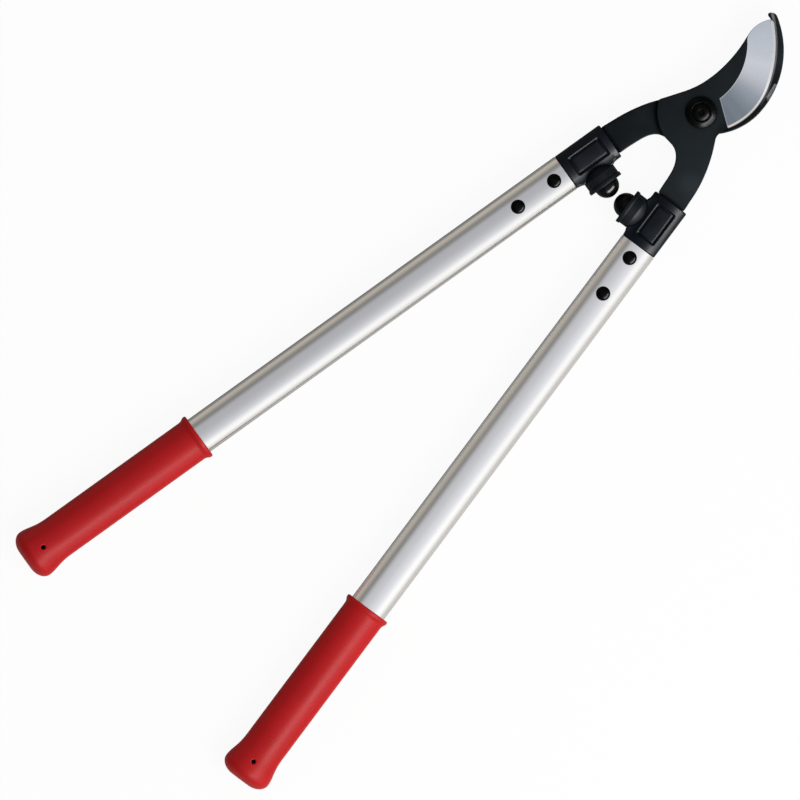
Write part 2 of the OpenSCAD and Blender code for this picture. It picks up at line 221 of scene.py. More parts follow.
def poly_sdf(x, y, corners):
    """Signed distance to a small polygon."""
    corners = np.asarray(corners, float)
    squared = np.full(x.shape, 1e18)
    inside = np.zeros(x.shape, bool)
    for (ax, ay), (bx, by) in zip(corners, np.roll(corners, -1, 0)):
        ex, ey = bx - ax, by - ay
        t = np.clip(((x - ax) * ex + (y - ay) * ey) / (ex * ex + ey * ey), 0, 1)
        squared = np.minimum(squared, (x - ax - t * ex) ** 2 + (y - ay - t * ey) ** 2)
        inside ^= ((ay > y) != (by > y)) & (x < (bx - ax) * (y - ay) / (by - ay + 1e-30) + ax)
    return np.where(inside, -np.sqrt(squared), np.sqrt(squared))


def surface_nets(sdf, low, high, step):
    """Closed quad mesh of sdf = 0, with every point then moved on to the surface."""
    step = np.ones(3) * step
    low = np.array(low, float)
    samples = np.ceil((np.array(high, float) - low) / step).astype(int) + 1
    lines = [low[i] + step[i] * np.arange(samples[i]) for i in range(3)]
    values = sdf(*np.meshgrid(*lines, indexing="ij"))
    values[np.abs(values) < 1e-9] = 1e-9
    inside = values < 0
    cells = samples - 1

    # one point a cell: the mean of the crossings on its twelve edges
    total = np.zeros(tuple(cells) + (3,))
    count = np.zeros(tuple(cells))
    for axis in range(3):
        side1, side2 = [k for k in range(3) if k != axis]
        for shift1, shift2 in ((0, 0), (0, 1), (1, 0), (1, 1)):
            near = [None] * 3
            near[axis] = slice(0, cells[axis])
            near[side1] = slice(shift1, cells[side1] + shift1)
            near[side2] = slice(shift2, cells[side2] + shift2)
            far = list(near)
            far[axis] = slice(1, cells[axis] + 1)
            near, far = tuple(near), tuple(far)
            start, end = values[near], values[far]
            crossed = inside[near] != inside[far]
            t = np.where(crossed, start / np.where(crossed, start - end, 1.0), 0.0)
            total[..., axis] += crossed * t
            total[..., side1] += crossed * shift1
            total[..., side2] += crossed * shift2
            count += crossed
    active = count > 0
    index = -np.ones(tuple(cells), int)
    index[active] = np.arange(active.sum())
    points = low + (np.argwhere(active) + total[active] / count[active][:, None]) * step

    # one quad round every grid edge that crosses the surface
    faces = []
    for axis in range(3):
        side1, side2 = (axis + 1) % 3, (axis + 2) % 3
        near, far = [slice(None)] * 3, [slice(None)] * 3
        near[axis] = slice(0, cells[axis])
        far[axis] = slice(1, cells[axis] + 1)
        edge = np.argwhere(inside[tuple(near)] != inside[tuple(far)])
        keep = (edge[:, side1] > 0) & (edge[:, side1] < cells[side1])
        keep &= (edge[:, side2] > 0) & (edge[:, side2] < cells[side2])
        edge = edge[keep]
        flip = ~inside[tuple(near)][tuple(edge.T)]
        quad = []
        for shift1, shift2 in ((-1, -1), (0, -1), (0, 0), (-1, 0)):
            cell = edge.copy()
            cell[:, side1] += shift1
            cell[:, side2] += shift2
            quad.append(index[tuple(cell.T)])
        quad = np.stack(quad, 1)
        quad[flip] = quad[flip][:, ::-1]
        faces.append(quad)
    faces = np.concatenate(faces)
    edges = np.concatenate([faces[:, [i, (i + 1) % 4]] for i in range(4)])

    def project(points):
        probe = 0.02
        for _ in range(2):
            dist = sdf(*points.T)
            slope = np.stack([sdf(*(points + e).T) - sdf(*(points - e).T)
                              for e in np.eye(3) * probe], 1) / (2 * probe)
            squared = np.maximum((slope * slope).sum(1), 0.2)
            move = -(dist / squared)[:, None] * slope
            length = np.linalg.norm(move, axis=1)[:, None]
            move *= np.minimum(1, 0.5 * step.min() / np.maximum(length, 1e-12))
            points = points + move
        return points

    points = project(points)
    degree = np.bincount(edges.ravel(), minlength=len(points)).astype(float)[:, None]
    for _ in range(2):
        near_sum = np.zeros_like(points)
        np.add.at(near_sum, edges[:, 0], points[edges[:, 1]])
        np.add.at(near_sum, edges[:, 1], points[edges[:, 0]])
        points = project(points + 0.5 * (near_sum / degree - points))
    return points, faces.tolist()


# ---------------------------------------------------------------- objects
def make(name, verts, faces, body, slot, mats, node,
         sharp_angle=None, face_mat=None, sharp=None, rim=None):
    """Object from closed geometry in millimetres, in the tool's place; it replaces a CAD node."""
    mesh = bpy.data.meshes.new(name)
    verts = np.asarray(verts, float) / 1000.0
    faces = [tuple(f) for f in faces]
    # a negative volume means that the faces look inwards
    volume = 0.0
    for size in (3, 4):
        corner = np.array([f for f in faces if len(f) == size], int)
        for i in range(1, size - 1):
            if len(corner):
                normal = np.cross(verts[corner[:, i]], verts[corner[:, i + 1]])
                volume += np.einsum("ij,ij->i", verts[corner[:, 0]], normal).sum()
    if volume < 0:
        faces = [f[::-1] for f in faces]
    mesh.from_pydata(verts.tolist(), [], faces)
    mesh.validate()
    for mat in mats:
        mesh.materials.append(mat)
    if face_mat is not None:
        mesh.polygons.foreach_set("material_index", np.asarray(face_mat, np.int32))
    mesh.polygons.foreach_set("use_smooth", [True] * len(mesh.polygons))
    if rim is not None:
        attribute = mesh.attributes.new("rim", "FLOAT", "POINT")
        attribute.data.foreach_set("value", np.asarray(rim, np.float32))
    if sharp_angle is not None:
        mesh.set_sharp_from_angle(angle=math.radians(sharp_angle))
    if sharp is not None:
        attribute = (mesh.attributes.get("sharp_edge")
                     or mesh.attributes.new("sharp_edge", "BOOLEAN", "EDGE"))
        flags = np.zeros(len(mesh.edges), bool)
        attribute.data.foreach_get("value", flags)
        ends = np.zeros(len(mesh.edges) * 2, np.int32)
        mesh.edges.foreach_get("vertices", ends)
        marked = {tuple(sorted(pair)) for pair in sharp}
        for i, pair in enumerate(ends.reshape(-1, 2).tolist()):
            if tuple(sorted(pair)) in marked:
                flags[i] = True
        attribute.data.foreach_set("value", flags)
    mesh.update()
    obj = bpy.data.objects.new(name, mesh)
    bpy.context.scene.collection.objects.link(obj)
    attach(obj, body)
    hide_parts(node)


def make_side(side, piece, verts, faces, slot, mat, body=None, sharp_angle=None):
    """A piece given in the handle frame, put on one handle."""
    make(f"{side}_{piece}_look", to_world(verts, side), faces, body or BODIES[side], slot, [mat],
         f"{side}_{piece}", sharp_angle=sharp_angle)


def make_pair(piece, verts, faces, slot, mat, sharp_angle=None):
    for side in BODIES:
        make_side(side, piece, verts, faces, slot, mat, sharp_angle=sharp_angle)


def lathe(profile, count, axis="z"):
    """Closed body of revolution. profile = [(radius, height)...] from axis to axis."""
    verts, rows = [], []
    for radius, height in profile:
        first = len(verts)
        if radius < 1e-6:
            rows.append([first] * count)
            verts.append((0.0, 0.0, height))
        else:
            rows.append(list(range(first, first + count)))
            for j in range(count):
                angle = 2 * math.pi * j / count
                verts.append((radius * math.cos(angle), radius * math.sin(angle), height))
    faces = []
    for low, high in zip(rows, rows[1:]):
        for j in range(count):
            k = (j + 1) % count
            # a row on the axis repeats its one vertex, which leaves a triangle
            faces.append(tuple(dict.fromkeys((low[j], high[j], high[k], low[k]))))
    verts = np.array(verts)
    if axis == "x":
        verts = verts[:, [2, 0, 1]]
    return verts, faces


def round_path(rows, segments):
    """Polyline with rounded corners. rows = (radius, height) or (radius, height, corner)."""
    out = []
    points = [np.array(row[:2], float) for row in rows]
    last = len(rows) - 1
    for i, (row, point) in enumerate(zip(rows, points)):
        corner = row[2] if len(row) > 2 else 0
        if i in (0, last) or corner <= 0:
            out.append(tuple(point))
            continue
        back, ahead = points[i - 1] - point, points[i + 1] - point
        back_len, ahead_len = np.linalg.norm(back), np.linalg.norm(ahead)
        back, ahead = back / back_len, ahead / ahead_len
        half = math.acos(max(-1, min(1, float(back @ ahead)))) / 2
        if half > math.pi / 2 - 0.02:
            out.append(tuple(point))
            continue
        reach = min(corner / math.tan(half), back_len * 0.49, ahead_len * 0.49)
        radius = reach * math.tan(half)
        middle = (back + ahead) / np.linalg.norm(back + ahead)
        centre = point + middle * (radius / math.sin(half))
        start = math.atan2(*(point + back * reach - centre)[::-1])
        end = math.atan2(*(point + ahead * reach - centre)[::-1])
        sweep = (end - start + math.pi) % (2 * math.pi) - math.pi
        for k in range(segments + 1):
            angle = start + sweep * k / segments
            out.append((centre[0] + radius * math.cos(angle),
                        centre[1] + radius * math.sin(angle)))
    return out


# ---------------------------------------------------------------- plane curves
OUTLINE_STEP = 0.6


def plane_loops(node, level):
    """Closed XY polygons bounding a CAD node's flat face at height level, largest first."""
    numbers, ids = {}, []
    for point in np.round(cad_points(node), 3).tolist():
        ids.append(numbers.setdefault(tuple(point), len(numbers)))
    points = np.array(list(numbers))
    on_level = np.abs(points[:, 2] - level) < 0.004
    seen = {}
    for polygon in frame["nodes"][node].data.polygons:
        ring = [ids[i] for i in polygon.vertices]
        if all(on_level[i] for i in ring):
            for pair in zip(ring, ring[1:] + ring[:1]):
                seen[pair] = True
    following = {a: b for a, b in seen if (b, a) not in seen}
    loops = []
    while following:
        a = next(iter(following))
        loop = []
        while a in following:
            loop.append(a)
            a = following.pop(a)
        if len(loop) > 2:
            loops.append(points[loop][:, :2])

    def area(q):
        return 0.5 * np.sum(q[:, 0] * np.roll(q[:, 1], -1) - np.roll(q[:, 0], -1) * q[:, 1])
    loops.sort(key=lambda q: -abs(area(q)))
    return [q if area(q) > 0 else q[::-1] for q in loops]


def lengths(path):
    """Distance along a polyline at each of its points."""
    return np.concatenate([[0], np.cumsum(np.linalg.norm(np.diff(path, axis=0), axis=1))])


def points_at(path, along, wanted):
    return np.stack([np.interp(wanted, along, path[:, i]) for i in (0, 1)], 1)


def resample_closed(path, step):
    path = np.vstack([path, path[:1]])
    along = lengths(path)
    count = int(round(along[-1] / step))
    out = points_at(path, along, np.arange(count) * along[-1] / count)
    for _ in range(3):
        out = 0.5 * out + 0.25 * (np.roll(out, 1, 0) + np.roll(out, -1, 0))
    return out


def resample_open(path, step):
    along = lengths(path)
    count = max(2, int(round(along[-1] / step)) + 1)
    out = points_at(path, along, np.linspace(0, along[-1], count))
    for _ in range(4):
        out[1:-1] = 0.5 * out[1:-1] + 0.25 * (out[:-2] + out[2:])
    return out


def inside_poly(points, poly):
    x, y = points[:, 0][:, None], points[:, 1][:, None]
    a, b = poly, np.roll(poly, -1, 0)
    cross_x = ((b[:, 0] - a[:, 0]) * (y - a[:, 1]) / (b[:, 1] - a[:, 1] + 1e-30) + a[:, 0])
    return (((a[:, 1] > y) != (b[:, 1] > y)) & (x < cross_x)).sum(1) % 2 == 1


def line_distance(points, line, closed=False):
    """Distance of each point from a polyline, worked out 64 segments at a time."""
    starts = np.asarray(line, float)
    ends = np.roll(starts, -1, 0) if closed else starts[1:]
    if not closed:
        starts = starts[:-1]
    best = np.full(len(points), 1e9)
    for i in range(0, len(starts), 64):
        a, b = starts[i:i + 64][None], ends[i:i + 64][None]
        edge = b - a
        t = ((points[:, None] - a) * edge).sum(2) / np.maximum((edge * edge).sum(2), 1e-12)
        t = np.clip(t, 0, 1)
        gap = np.linalg.norm(points[:, None] - a - t[..., None] * edge, axis=2)
        best = np.minimum(best, gap.min(1))
    return best


# ---------------------------------------------------------------- plates (blade and hook)
def nowhere(points):
    return np.zeros(len(points), bool)


def loop_edges(ids):
    return list(zip(ids, ids[1:] + ids[:1]))


def fill_points(ring, holes, creases, fine):
    """Points inside a cap, close together where fine(points) is true."""
    low, high = ring.min(0), ring.max(0)
    found = []
    for pitch, in_fine in ((1.5, True), (3.2, False)):
        x, y = np.meshgrid(np.arange(low[0], high[0], pitch),
                           np.arange(low[1], high[1], pitch * 0.87))
        x[1::2] += pitch / 2
        grid = np.stack([x.ravel(), y.ravel()], 1)
        grid = grid[fine(grid) == in_fine]
        grid = grid[inside_poly(grid, ring)]
        grid = grid[line_distance(grid, ring, True) > 0.45 * pitch]
        for hole in holes:
            grid = grid[~inside_poly(grid, hole)]
            grid = grid[line_distance(grid, hole, True) > 0.4 * pitch]
        for crease in creases:
            grid = grid[line_distance(grid, crease) > 0.35 * pitch]
        found.append(grid)
    return np.vstack(found)


def plate(outline, holes, z_top, z_bot, r_top, r_bot, height, zone, creases, fine,
          pins=(), bare=nowhere):
    """A plate with rounded edges: its vertices, faces and the extras for make().

    height(xy) is an upper limit on the top face and zone(xy) gives its material slot.
    creases are sharp lines on the top, pins the outline points they run to, and bare(xy) is
    true where the outline is a cut edge. The rim attribute is 1 on the outermost rounding.
    """
    base = resample_closed(outline, OUTLINE_STEP)
    pinned = []
    for pin in pins:
        k = int(np.argmin(np.linalg.norm(base - pin, axis=1)))
        base[k] = pin
        pinned.append(k)
    along = np.roll(base, -1, 0) - np.roll(base, 1, 0)
    along /= np.linalg.norm(along, axis=1)[:, None]
    inward = np.stack([-along[:, 1], along[:, 0]], 1)
    soft = 1.0 - bare(base)
    # the rounding is smaller on a cut edge and grows gradually away from it
    round_top = r_top * (0.34 + 0.66 * soft)
    for _ in range(4):
        mean = 0.5 * round_top + 0.25 * (np.roll(round_top, 1) + np.roll(round_top, -1))
        round_top = np.minimum(round_top, mean)
    verts, rim, faces, face_mat = [], [], [], []

    def push(points, levels, weight):
        first = len(verts)
        verts.extend((x, y, z) for (x, y), z in zip(points, levels))
        rim.extend([weight] * len(points))
        return list(range(first, len(verts)))

    def top_level(points, drop):
        return np.minimum(z_top - drop, height(points))

    segments = 5
    angles = np.arange(segments + 1) * (math.pi / 2) / segments
    top_rows, bottom_rows = [], []
    for angle in angles:
        points = base + inward * (round_top * (1 - math.cos(angle)))[:, None]
        levels = top_level(points, round_top * (1 - math.sin(angle)))
        top_rows.append(push(points, levels, math.cos(angle)))
    for angle in angles:
        points = base + inward * (r_bot * (1 - math.cos(angle)))
        levels = z_bot + r_bot * (1 - math.sin(angle)) * soft
        bottom_rows.append(push(points, levels, math.cos(angle)))
    upper = np.array([verts[i][2] for i in top_rows[0]])
    lower = np.array([verts[i][2] for i in bottom_rows[0]])
    gap = np.minimum(0.5, (upper - lower) / 3)
    wall_upper = push(base, upper - gap, 0.0)
    wall_lower = push(base, lower + gap, 0.0)

    def strip(row, other, mats):
        for (a, b), (c, d) in zip(loop_edges(row), loop_edges(other)):
            faces.append((a, b, d, c))
        face_mat.extend(mats.tolist())

    cut = soft < 0.5
    top_mats = zone((base + np.roll(base, -1, 0)) / 2)
    wall_mats = 2 * (cut & np.roll(cut, -1))
    for a, b in zip(top_rows, top_rows[1:]):
        strip(a, b, top_mats)
    strip(wall_upper, top_rows[0], wall_mats)
    strip(wall_lower, wall_upper, wall_mats)
    strip(bottom_rows[0], wall_lower, wall_mats)
    for a, b in zip(bottom_rows, bottom_rows[1:]):
        strip(b, a, 0 * wall_mats)

    def cap(row, is_top):
        """Triangulate one flat side; returns the mesh vertices round each hole."""
        ring = np.array([verts[i][:2] for i in row])
        points = [tuple(q) for q in ring]
        edges = loop_edges(list(range(len(row))))
        hole_ids = []
        for hole in holes:
            ids = list(range(len(points), len(points) + len(hole)))
            points += [tuple(q) for q in hole]
            edges += loop_edges(ids)
            hole_ids.append(ids)
        cap_creases = creases if is_top else ()
        for crease in cap_creases:
            clear = inside_poly(crease, ring) & (line_distance(crease, ring, True) > 0.25)
            kept = crease[clear]
            run = list(range(len(points), len(points) + len(kept)))
            points += [tuple(q) for q in kept]
            edges += list(zip(run, run[1:]))
            for end in (0, -1):
                if run:
                    gaps = np.linalg.norm(base - crease[end], axis=1)
                    j = int(np.argmin(gaps))
                    if j in pinned and gaps[j] < 0.05:
                        edges.append((j, run[end]))
        fill = fill_points(ring, holes, cap_creases, fine if is_top else nowhere)
        points += [tuple(q) for q in fill]
        flat, _, triangles, origins, _, _ = delaunay_2d_cdt(
            [tuple(map(float, q)) for q in points], edges, [], 0, 1e-6)
        flat = np.array([tuple(q) for q in flat])
        triangles = np.array([tuple(t) for t in triangles])
        centres = flat[triangles].mean(1)
        good = inside_poly(centres, ring)
        for hole in holes:
            good &= ~inside_poly(centres, hole)
        triangles, centres = triangles[good], centres[good]
        moved = {}
        for number, sources in enumerate(origins):
            for source in sources:
                moved[source] = number
        to_mesh = {moved[i]: vertex for i, vertex in enumerate(row)}
        levels = top_level(flat, 0.0) if is_top else np.full(len(flat), float(z_bot))
        for number in np.unique(triangles).tolist():
            if number not in to_mesh:
                to_mesh[number] = push(flat[number:number + 1], levels[number:], 0.0)[0]
        a, b, c = (flat[triangles[:, i]] for i in range(3))
        ab, ac = b - a, c - a
        faces_up = (ab[:, 0] * ac[:, 1] - ab[:, 1] * ac[:, 0]) > 0
        for triangle, up in zip(triangles.tolist(), faces_up.tolist()):
            face = tuple(to_mesh[i] for i in triangle)
            faces.append(face if up == is_top else face[::-1])
        face_mat.extend((zone if is_top else nowhere)(centres).astype(int).tolist())
        return [[to_mesh[moved[i]] for i in ids] for ids in hole_ids]

    top_holes, bottom_holes = cap(top_rows[-1], True), cap(bottom_rows[-1], False)
    for upper_loop, lower_loop in zip(top_holes, bottom_holes):
        for (a, b), (c, d) in zip(loop_edges(upper_loop), loop_edges(lower_loop)):
            faces.append((c, a, b, d))
            face_mat.append(0)

    verts = np.array(verts)
    sharp = []
    for crease in creases:
        on_crease = line_distance(verts[:, :2], crease) < 0.012
        for face in faces:
            for a, b in zip(face, face[1:] + face[:1]):
                if on_crease[a] and on_crease[b]:
                    sharp.append((a, b))
    # the creases run on across the rounded rim
    for k in pinned:
        sharp += [(a[k], b[k]) for a, b in zip(top_rows, top_rows[1:])]
    return verts, faces, {"face_mat": face_mat, "rim": rim, "sharp": sharp}


# ---------------------------------------------------------------- cutting blade shape
GRIND_C, GRIND_R = np.array([-45.7, 21.9]), 48.3    # the arc where the hollow grind begins
GRIND_SLOPE = 3.3 / 22                              # fall over run, away from that arc
# cutting edge arcs: centre, radius, first and last angle in degrees
EDGE = [(np.array([-22.3, 24.5]), 47.2, -23.2, 25.2),
        (np.array([-58.9, 7.3]), 87.64, 25.15, 61.0)]
HEEL = np.array([20.6, 5.5])                        # a point on the heel line
HEEL_ALONG = np.array([60.6, -33.49]) / np.hypot(60.6, 33.49)
HEEL_OUT = np.array([-HEEL_ALONG[1], HEEL_ALONG[0]])
HEEL_STEP_W = 0.22                                  # the heel step leans over this much
HONE_ANGLES, HONE_WIDTHS = [17.0, 37.0], [1.75, 2.1]
EDGE_H = 0.26                                       # honed edge above the underside
MIN_H = 0.22
CLEAR = 5.0                                         # added to a limit that does not apply


def above_heel(points):
    return (points - HEEL) @ HEEL_OUT


def hone_width(angle):
    return np.interp(angle, HONE_ANGLES, HONE_WIDTHS)


def polar(points, centre):
    """Offset, distance and angle in degrees from a centre."""
    offset = points - centre
    dist = np.hypot(offset[:, 0], offset[:, 1])
    return offset, dist, np.degrees(np.arctan2(offset[:, 1], offset[:, 0]))


def ground_z(points):
    dist = np.linalg.norm(points - GRIND_C, axis=1)
    return np.where(dist > GRIND_R, BLADE_TOP - GRIND_SLOPE * (dist - GRIND_R),
                    BLADE_TOP + CLEAR)


def bevel_z(points):
    level = np.full(len(points), 1e3)
    for centre, radius, start, end in EDGE:
        offset, dist, angle = polar(points, centre)
        width = hone_width(angle)
        crease = centre + offset * ((radius - width) / np.maximum(dist, 1e-6))[:, None]
        rise = (ground_z(crease) - BLADE_BOT - EDGE_H) * (radius - dist) / width
        on_bevel = (angle >= start) & (angle <= end) & (dist > radius - width)
        level = np.where(on_bevel, np.minimum(level, BLADE_BOT + EDGE_H + rise), level)
    return level


def blade_height(points):
    share = np.clip(above_heel(points) / HEEL_STEP_W, 0, 1)
    low = np.minimum(np.minimum(ground_z(points), bevel_z(points)), BLADE_TOP)
    low = np.maximum(low, BLADE_BOT + MIN_H)
    return np.where(share > 0, BLADE_TOP * (1 - share) + low * share, BLADE_TOP + CLEAR)


def blade_zone(points):
    """0 coated, 1 ground, 2 honed."""
    ground = above_heel(points) > 0.02
    ground &= np.linalg.norm(points - GRIND_C, axis=1) > GRIND_R
    honed = (bevel_z(points) < ground_z(points)) & (above_heel(points) > HEEL_STEP_W)
    return ground.astype(int) + (ground & honed).astype(int)


def blade_bare(points):
    on_edge = nowhere(points)
    for centre, radius, start, end in EDGE:
        _, dist, angle = polar(points, centre)
        on_edge |= (np.abs(dist - radius) < 0.35) & (angle >= start - 0.3) & (angle <= end)
    return on_edge & (above_heel(points) > -0.2)


def exit_along(point_at, start, stride, inside):
    """Parameter where the path point_at(t) leaves a region, by steps and then by halving."""
    outer = start
    while inside(point_at(outer)):
        outer += stride
    inner = outer - stride
    for _ in range(30):
        middle = (inner + outer) / 2
        if inside(point_at(middle)):
            inner = middle
        else:
            outer = middle
    return inner


def build_blade():
    loops = plane_loops("cutting_blade", BLADE_BOT)
    outline, holes = loops[0], [loop for loop in loops[1:] if len(loop) > 8]
    smooth_outline = resample_closed(outline, OUTLINE_STEP)

    def inside(point):
        return bool(inside_poly(np.array([point]), smooth_outline)[0])

    def heel_line(offset):
        """Parallel to the heel, from the grind arc to the cutting edge."""
        t = np.linspace(-40, 5, 4000)
        line = HEEL + t[:, None] * HEEL_ALONG + HEEL_OUT * offset
        start = line[np.argmax(np.linalg.norm(line - GRIND_C, axis=1) > GRIND_R)]
        reach = exit_along(lambda t: start + t * HEEL_ALONG, 0.0, 0.5, inside)
        end = start + reach * HEEL_ALONG
        return start + (end - start) * np.linspace(0, 1, 22)[:, None]

    def arc_point(angle):
        return GRIND_C + GRIND_R * np.array([math.cos(angle), math.sin(angle)])

    heel_top, heel_foot = heel_line(0.0), heel_line(HEEL_STEP_W)
    arc_start = math.atan2(*(heel_top[0] - GRIND_C)[::-1])
    arc_end = exit_along(arc_point, arc_start, 0.004, inside)
    grind_line = np.array([arc_point(angle) for angle in np.linspace(arc_start, arc_end, 60)])
    bevel = []
    for centre, radius, start, end in EDGE:
        for angle in np.arange(start, end + 0.01, 0.6):
            turn = math.radians(angle)
            bevel.append(centre + (radius - hone_width(angle))
                         * np.array([math.cos(turn), math.sin(turn)]))
    bevel = np.array(bevel)
    bevel = resample_open(bevel[above_heel(bevel) > HEEL_STEP_W + 0.25], 0.9)
    return plate(outline, holes, BLADE_TOP, BLADE_BOT, r_top=0.75, r_bot=0.5,
                 height=blade_height, zone=blade_zone,
                 creases=[grind_line, heel_top, heel_foot, bevel],
                 fine=lambda points: blade_zone(points) > 0,
                 pins=[grind_line[-1], heel_top[-1], heel_foot[-1]], bare=blade_bare)


# ---------------------------------------------------------------- node trees
class Nodes:
    """A node tree. Its methods add nodes and return their output sockets."""

    def __init__(self, owner, output, coords):
        owner.use_nodes = True
        self.tree = owner.node_tree
        self.tree.nodes.clear()
        self.out = self.node(output)
        self.pos = self.node("TexCoord").outputs[coords]

    def node(self, kind, **props):
        node = self.tree.nodes.new("ShaderNode" + kind)
        for key, value in props.items():
            setattr(node, key, value)
        return node

    def put(self, socket, value):
        """Link a socket or set a number, repeated or given an alpha where needed."""
        if hasattr(value, "is_output"):
            self.tree.links.new(value, socket)
        elif hasattr(socket.default_value, "__len__") and not hasattr(value, "__len__"):
            socket.default_value = [value] * len(socket.default_value)
        elif (hasattr(value, "__len__") and len(value) == 3
              and len(socket.default_value) == 4):
            socket.default_value = tuple(value) + (1.0,)
        else:
            socket.default_value = value

    def put_all(self, node, values):
        for i, value in enumerate(values):
            self.put(node.inputs[i], value)
        return node.outputs[0]

    def surface(self, shader):
        self.put(self.out.inputs[0], shader)

    def calc(self, operation, *values):
        return self.put_all(self.node("Math", operation=operation), values)

    def times(self, a, b):
        return self.calc("MULTIPLY", a, b)

    def plus(self, a, b):
        return self.calc("ADD", a, b)

    def minus(self, a, b):
        return self.calc("SUBTRACT", a, b)

    def remap(self, value, to=(0.0, 1.0), frm=(0.3, 0.7), smooth=False):
        kind = "SMOOTHSTEP" if smooth else "LINEAR"
        return self.put_all(self.node("MapRange", interpolation_type=kind), (value, *frm, *to))

    def ramp(self, value, stops):
        node = self.node("ValToRGB")
        elements = node.color_ramp.elements
        while len(elements) < len(stops):
            elements.new(0.5)
        for element, (position, color) in zip(elements, stops):
            element.position = position
            element.color = tuple(color) + (1.0,)
        return self.put_all(node, (value,))

    def mix(self, amount, base, over, mode="MIX"):
        node = self.node("Mix", data_type="RGBA", blend_type=mode)
        self.put(node.inputs[0], amount)
        self.put(node.inputs[6], base)
        self.put(node.inputs[7], over)
        return node.outputs[2]

    def vary(self, value, base, over, frm=(0.3, 0.7), to=(0.0, 1.0)):
        """Mix two colours by a remapped value."""
        return self.mix(self.remap(value, frm=frm, to=to), base, over)

    def xyz(self, vector=None):
        return self.put_all_outputs("SeparateXYZ", vector or self.pos)

    def put_all_outputs(self, kind, value):
        node = self.node(kind)
        self.put(node.inputs[0], value)
        return node.outputs

    def combine(self, *values):
        return self.put_all(self.node("CombineXYZ"), values)

    def noise(self, scale, detail=2.0, rough=0.5, vector=None):
        node = self.node("TexNoise")
        self.put(node.inputs["Vector"], vector or self.pos)
        self.put(node.inputs["Scale"], scale)
        self.put(node.inputs["Detail"], detail)
        self.put(node.inputs["Roughness"], rough)
        return node.outputs["Fac"]


class Mat(Nodes):
    """A material whose positions are the object's own, in metres, turned about z if asked."""

    def __init__(self, name, turn=0.0):
        self.material = bpy.data.materials.new(name)
        super().__init__(self.material, "OutputMaterial", "Object")
        if turn:
            mapping = self.node("Mapping")
            mapping.inputs["Rotation"].default_value = (0, 0, turn)
            self.pos = self.put_all(mapping, (self.pos,))

    def scaled(self, scale, vector=None):
        mapping = self.node("Mapping")
        mapping.inputs["Scale"].default_value = scale
        return self.put_all(mapping, (vector or self.pos,))

    def voronoi(self, scale):
        node = self.node("TexVoronoi", feature="F1")
        self.put(node.inputs["Vector"], self.pos)
        self.put(node.inputs["Scale"], scale)
        return node.outputs["Distance"]

    def offset(self, x, y, centre):
        """x and y from a centre given in millimetres."""
        return self.minus(x, centre[0] / 1000.0), self.minus(y, centre[1] / 1000.0)

    def length(self, x, y):
        return self.calc("SQRT", self.plus(self.times(x, x), self.times(y, y)))

    def past_edge(self, x, y, arc):
        """Distance beyond one of the blade's edge arcs, outwards."""
        centre, radius = arc[:2]
        return self.minus(self.length(*self.offset(x, y, centre)), radius / 1000.0)

    def rim(self, frm, to=(0.0, 1.0)):
        """The plates' rim attribute, remapped."""
        attribute = self.node("Attribute", attribute_name="rim").outputs["Fac"]
        return self.remap(attribute, frm=frm, to=to)

    def ridges(self, frm):
        """1 on convex edges, 0 on flat surfaces."""
        return self.remap(self.node("NewGeometry").outputs["Pointiness"], frm=frm)

    def painted_nook_shade(self, reach, frm, floor):
        """Painted shade: 1 on open surfaces, down to floor in corners narrower than reach
        (metres).
        """
        node = self.node("AmbientOcclusion", samples=6)
        self.put(node.inputs["Distance"], reach)
        return self.remap(node.outputs["AO"], frm=frm, to=(floor, 1.0))

    def dim(self, color, amount):
        """A colour scaled by a number."""
        return self.mix(1.0, color, self.combine(amount, amount, amount), "MULTIPLY")

    def bump(self, height, depth, strength, normal=None):
        node = self.node("Bump")
        self.put(node.inputs["Height"], height)
        self.put(node.inputs["Distance"], depth)
        self.put(node.inputs["Strength"], strength)
        if normal is not None:
            self.put(node.inputs["Normal"], normal)
        return node.outputs[0]

    def finish(self, color, rough, metal, normal, **extra):
        """Principled surface; extra holds its other inputs, with _ for a space."""
        shader = self.node("BsdfPrincipled")
        self.put(shader.inputs["Base Color"], color)
        self.put(shader.inputs["Roughness"], rough)
        self.put(shader.inputs["Metallic"], metal)
        self.put(shader.inputs["Normal"], normal)
        for key, value in extra.items():
            self.put(shader.inputs[key.replace("_", " ")], value)
        self.surface(shader.outputs[0])
        return self.material


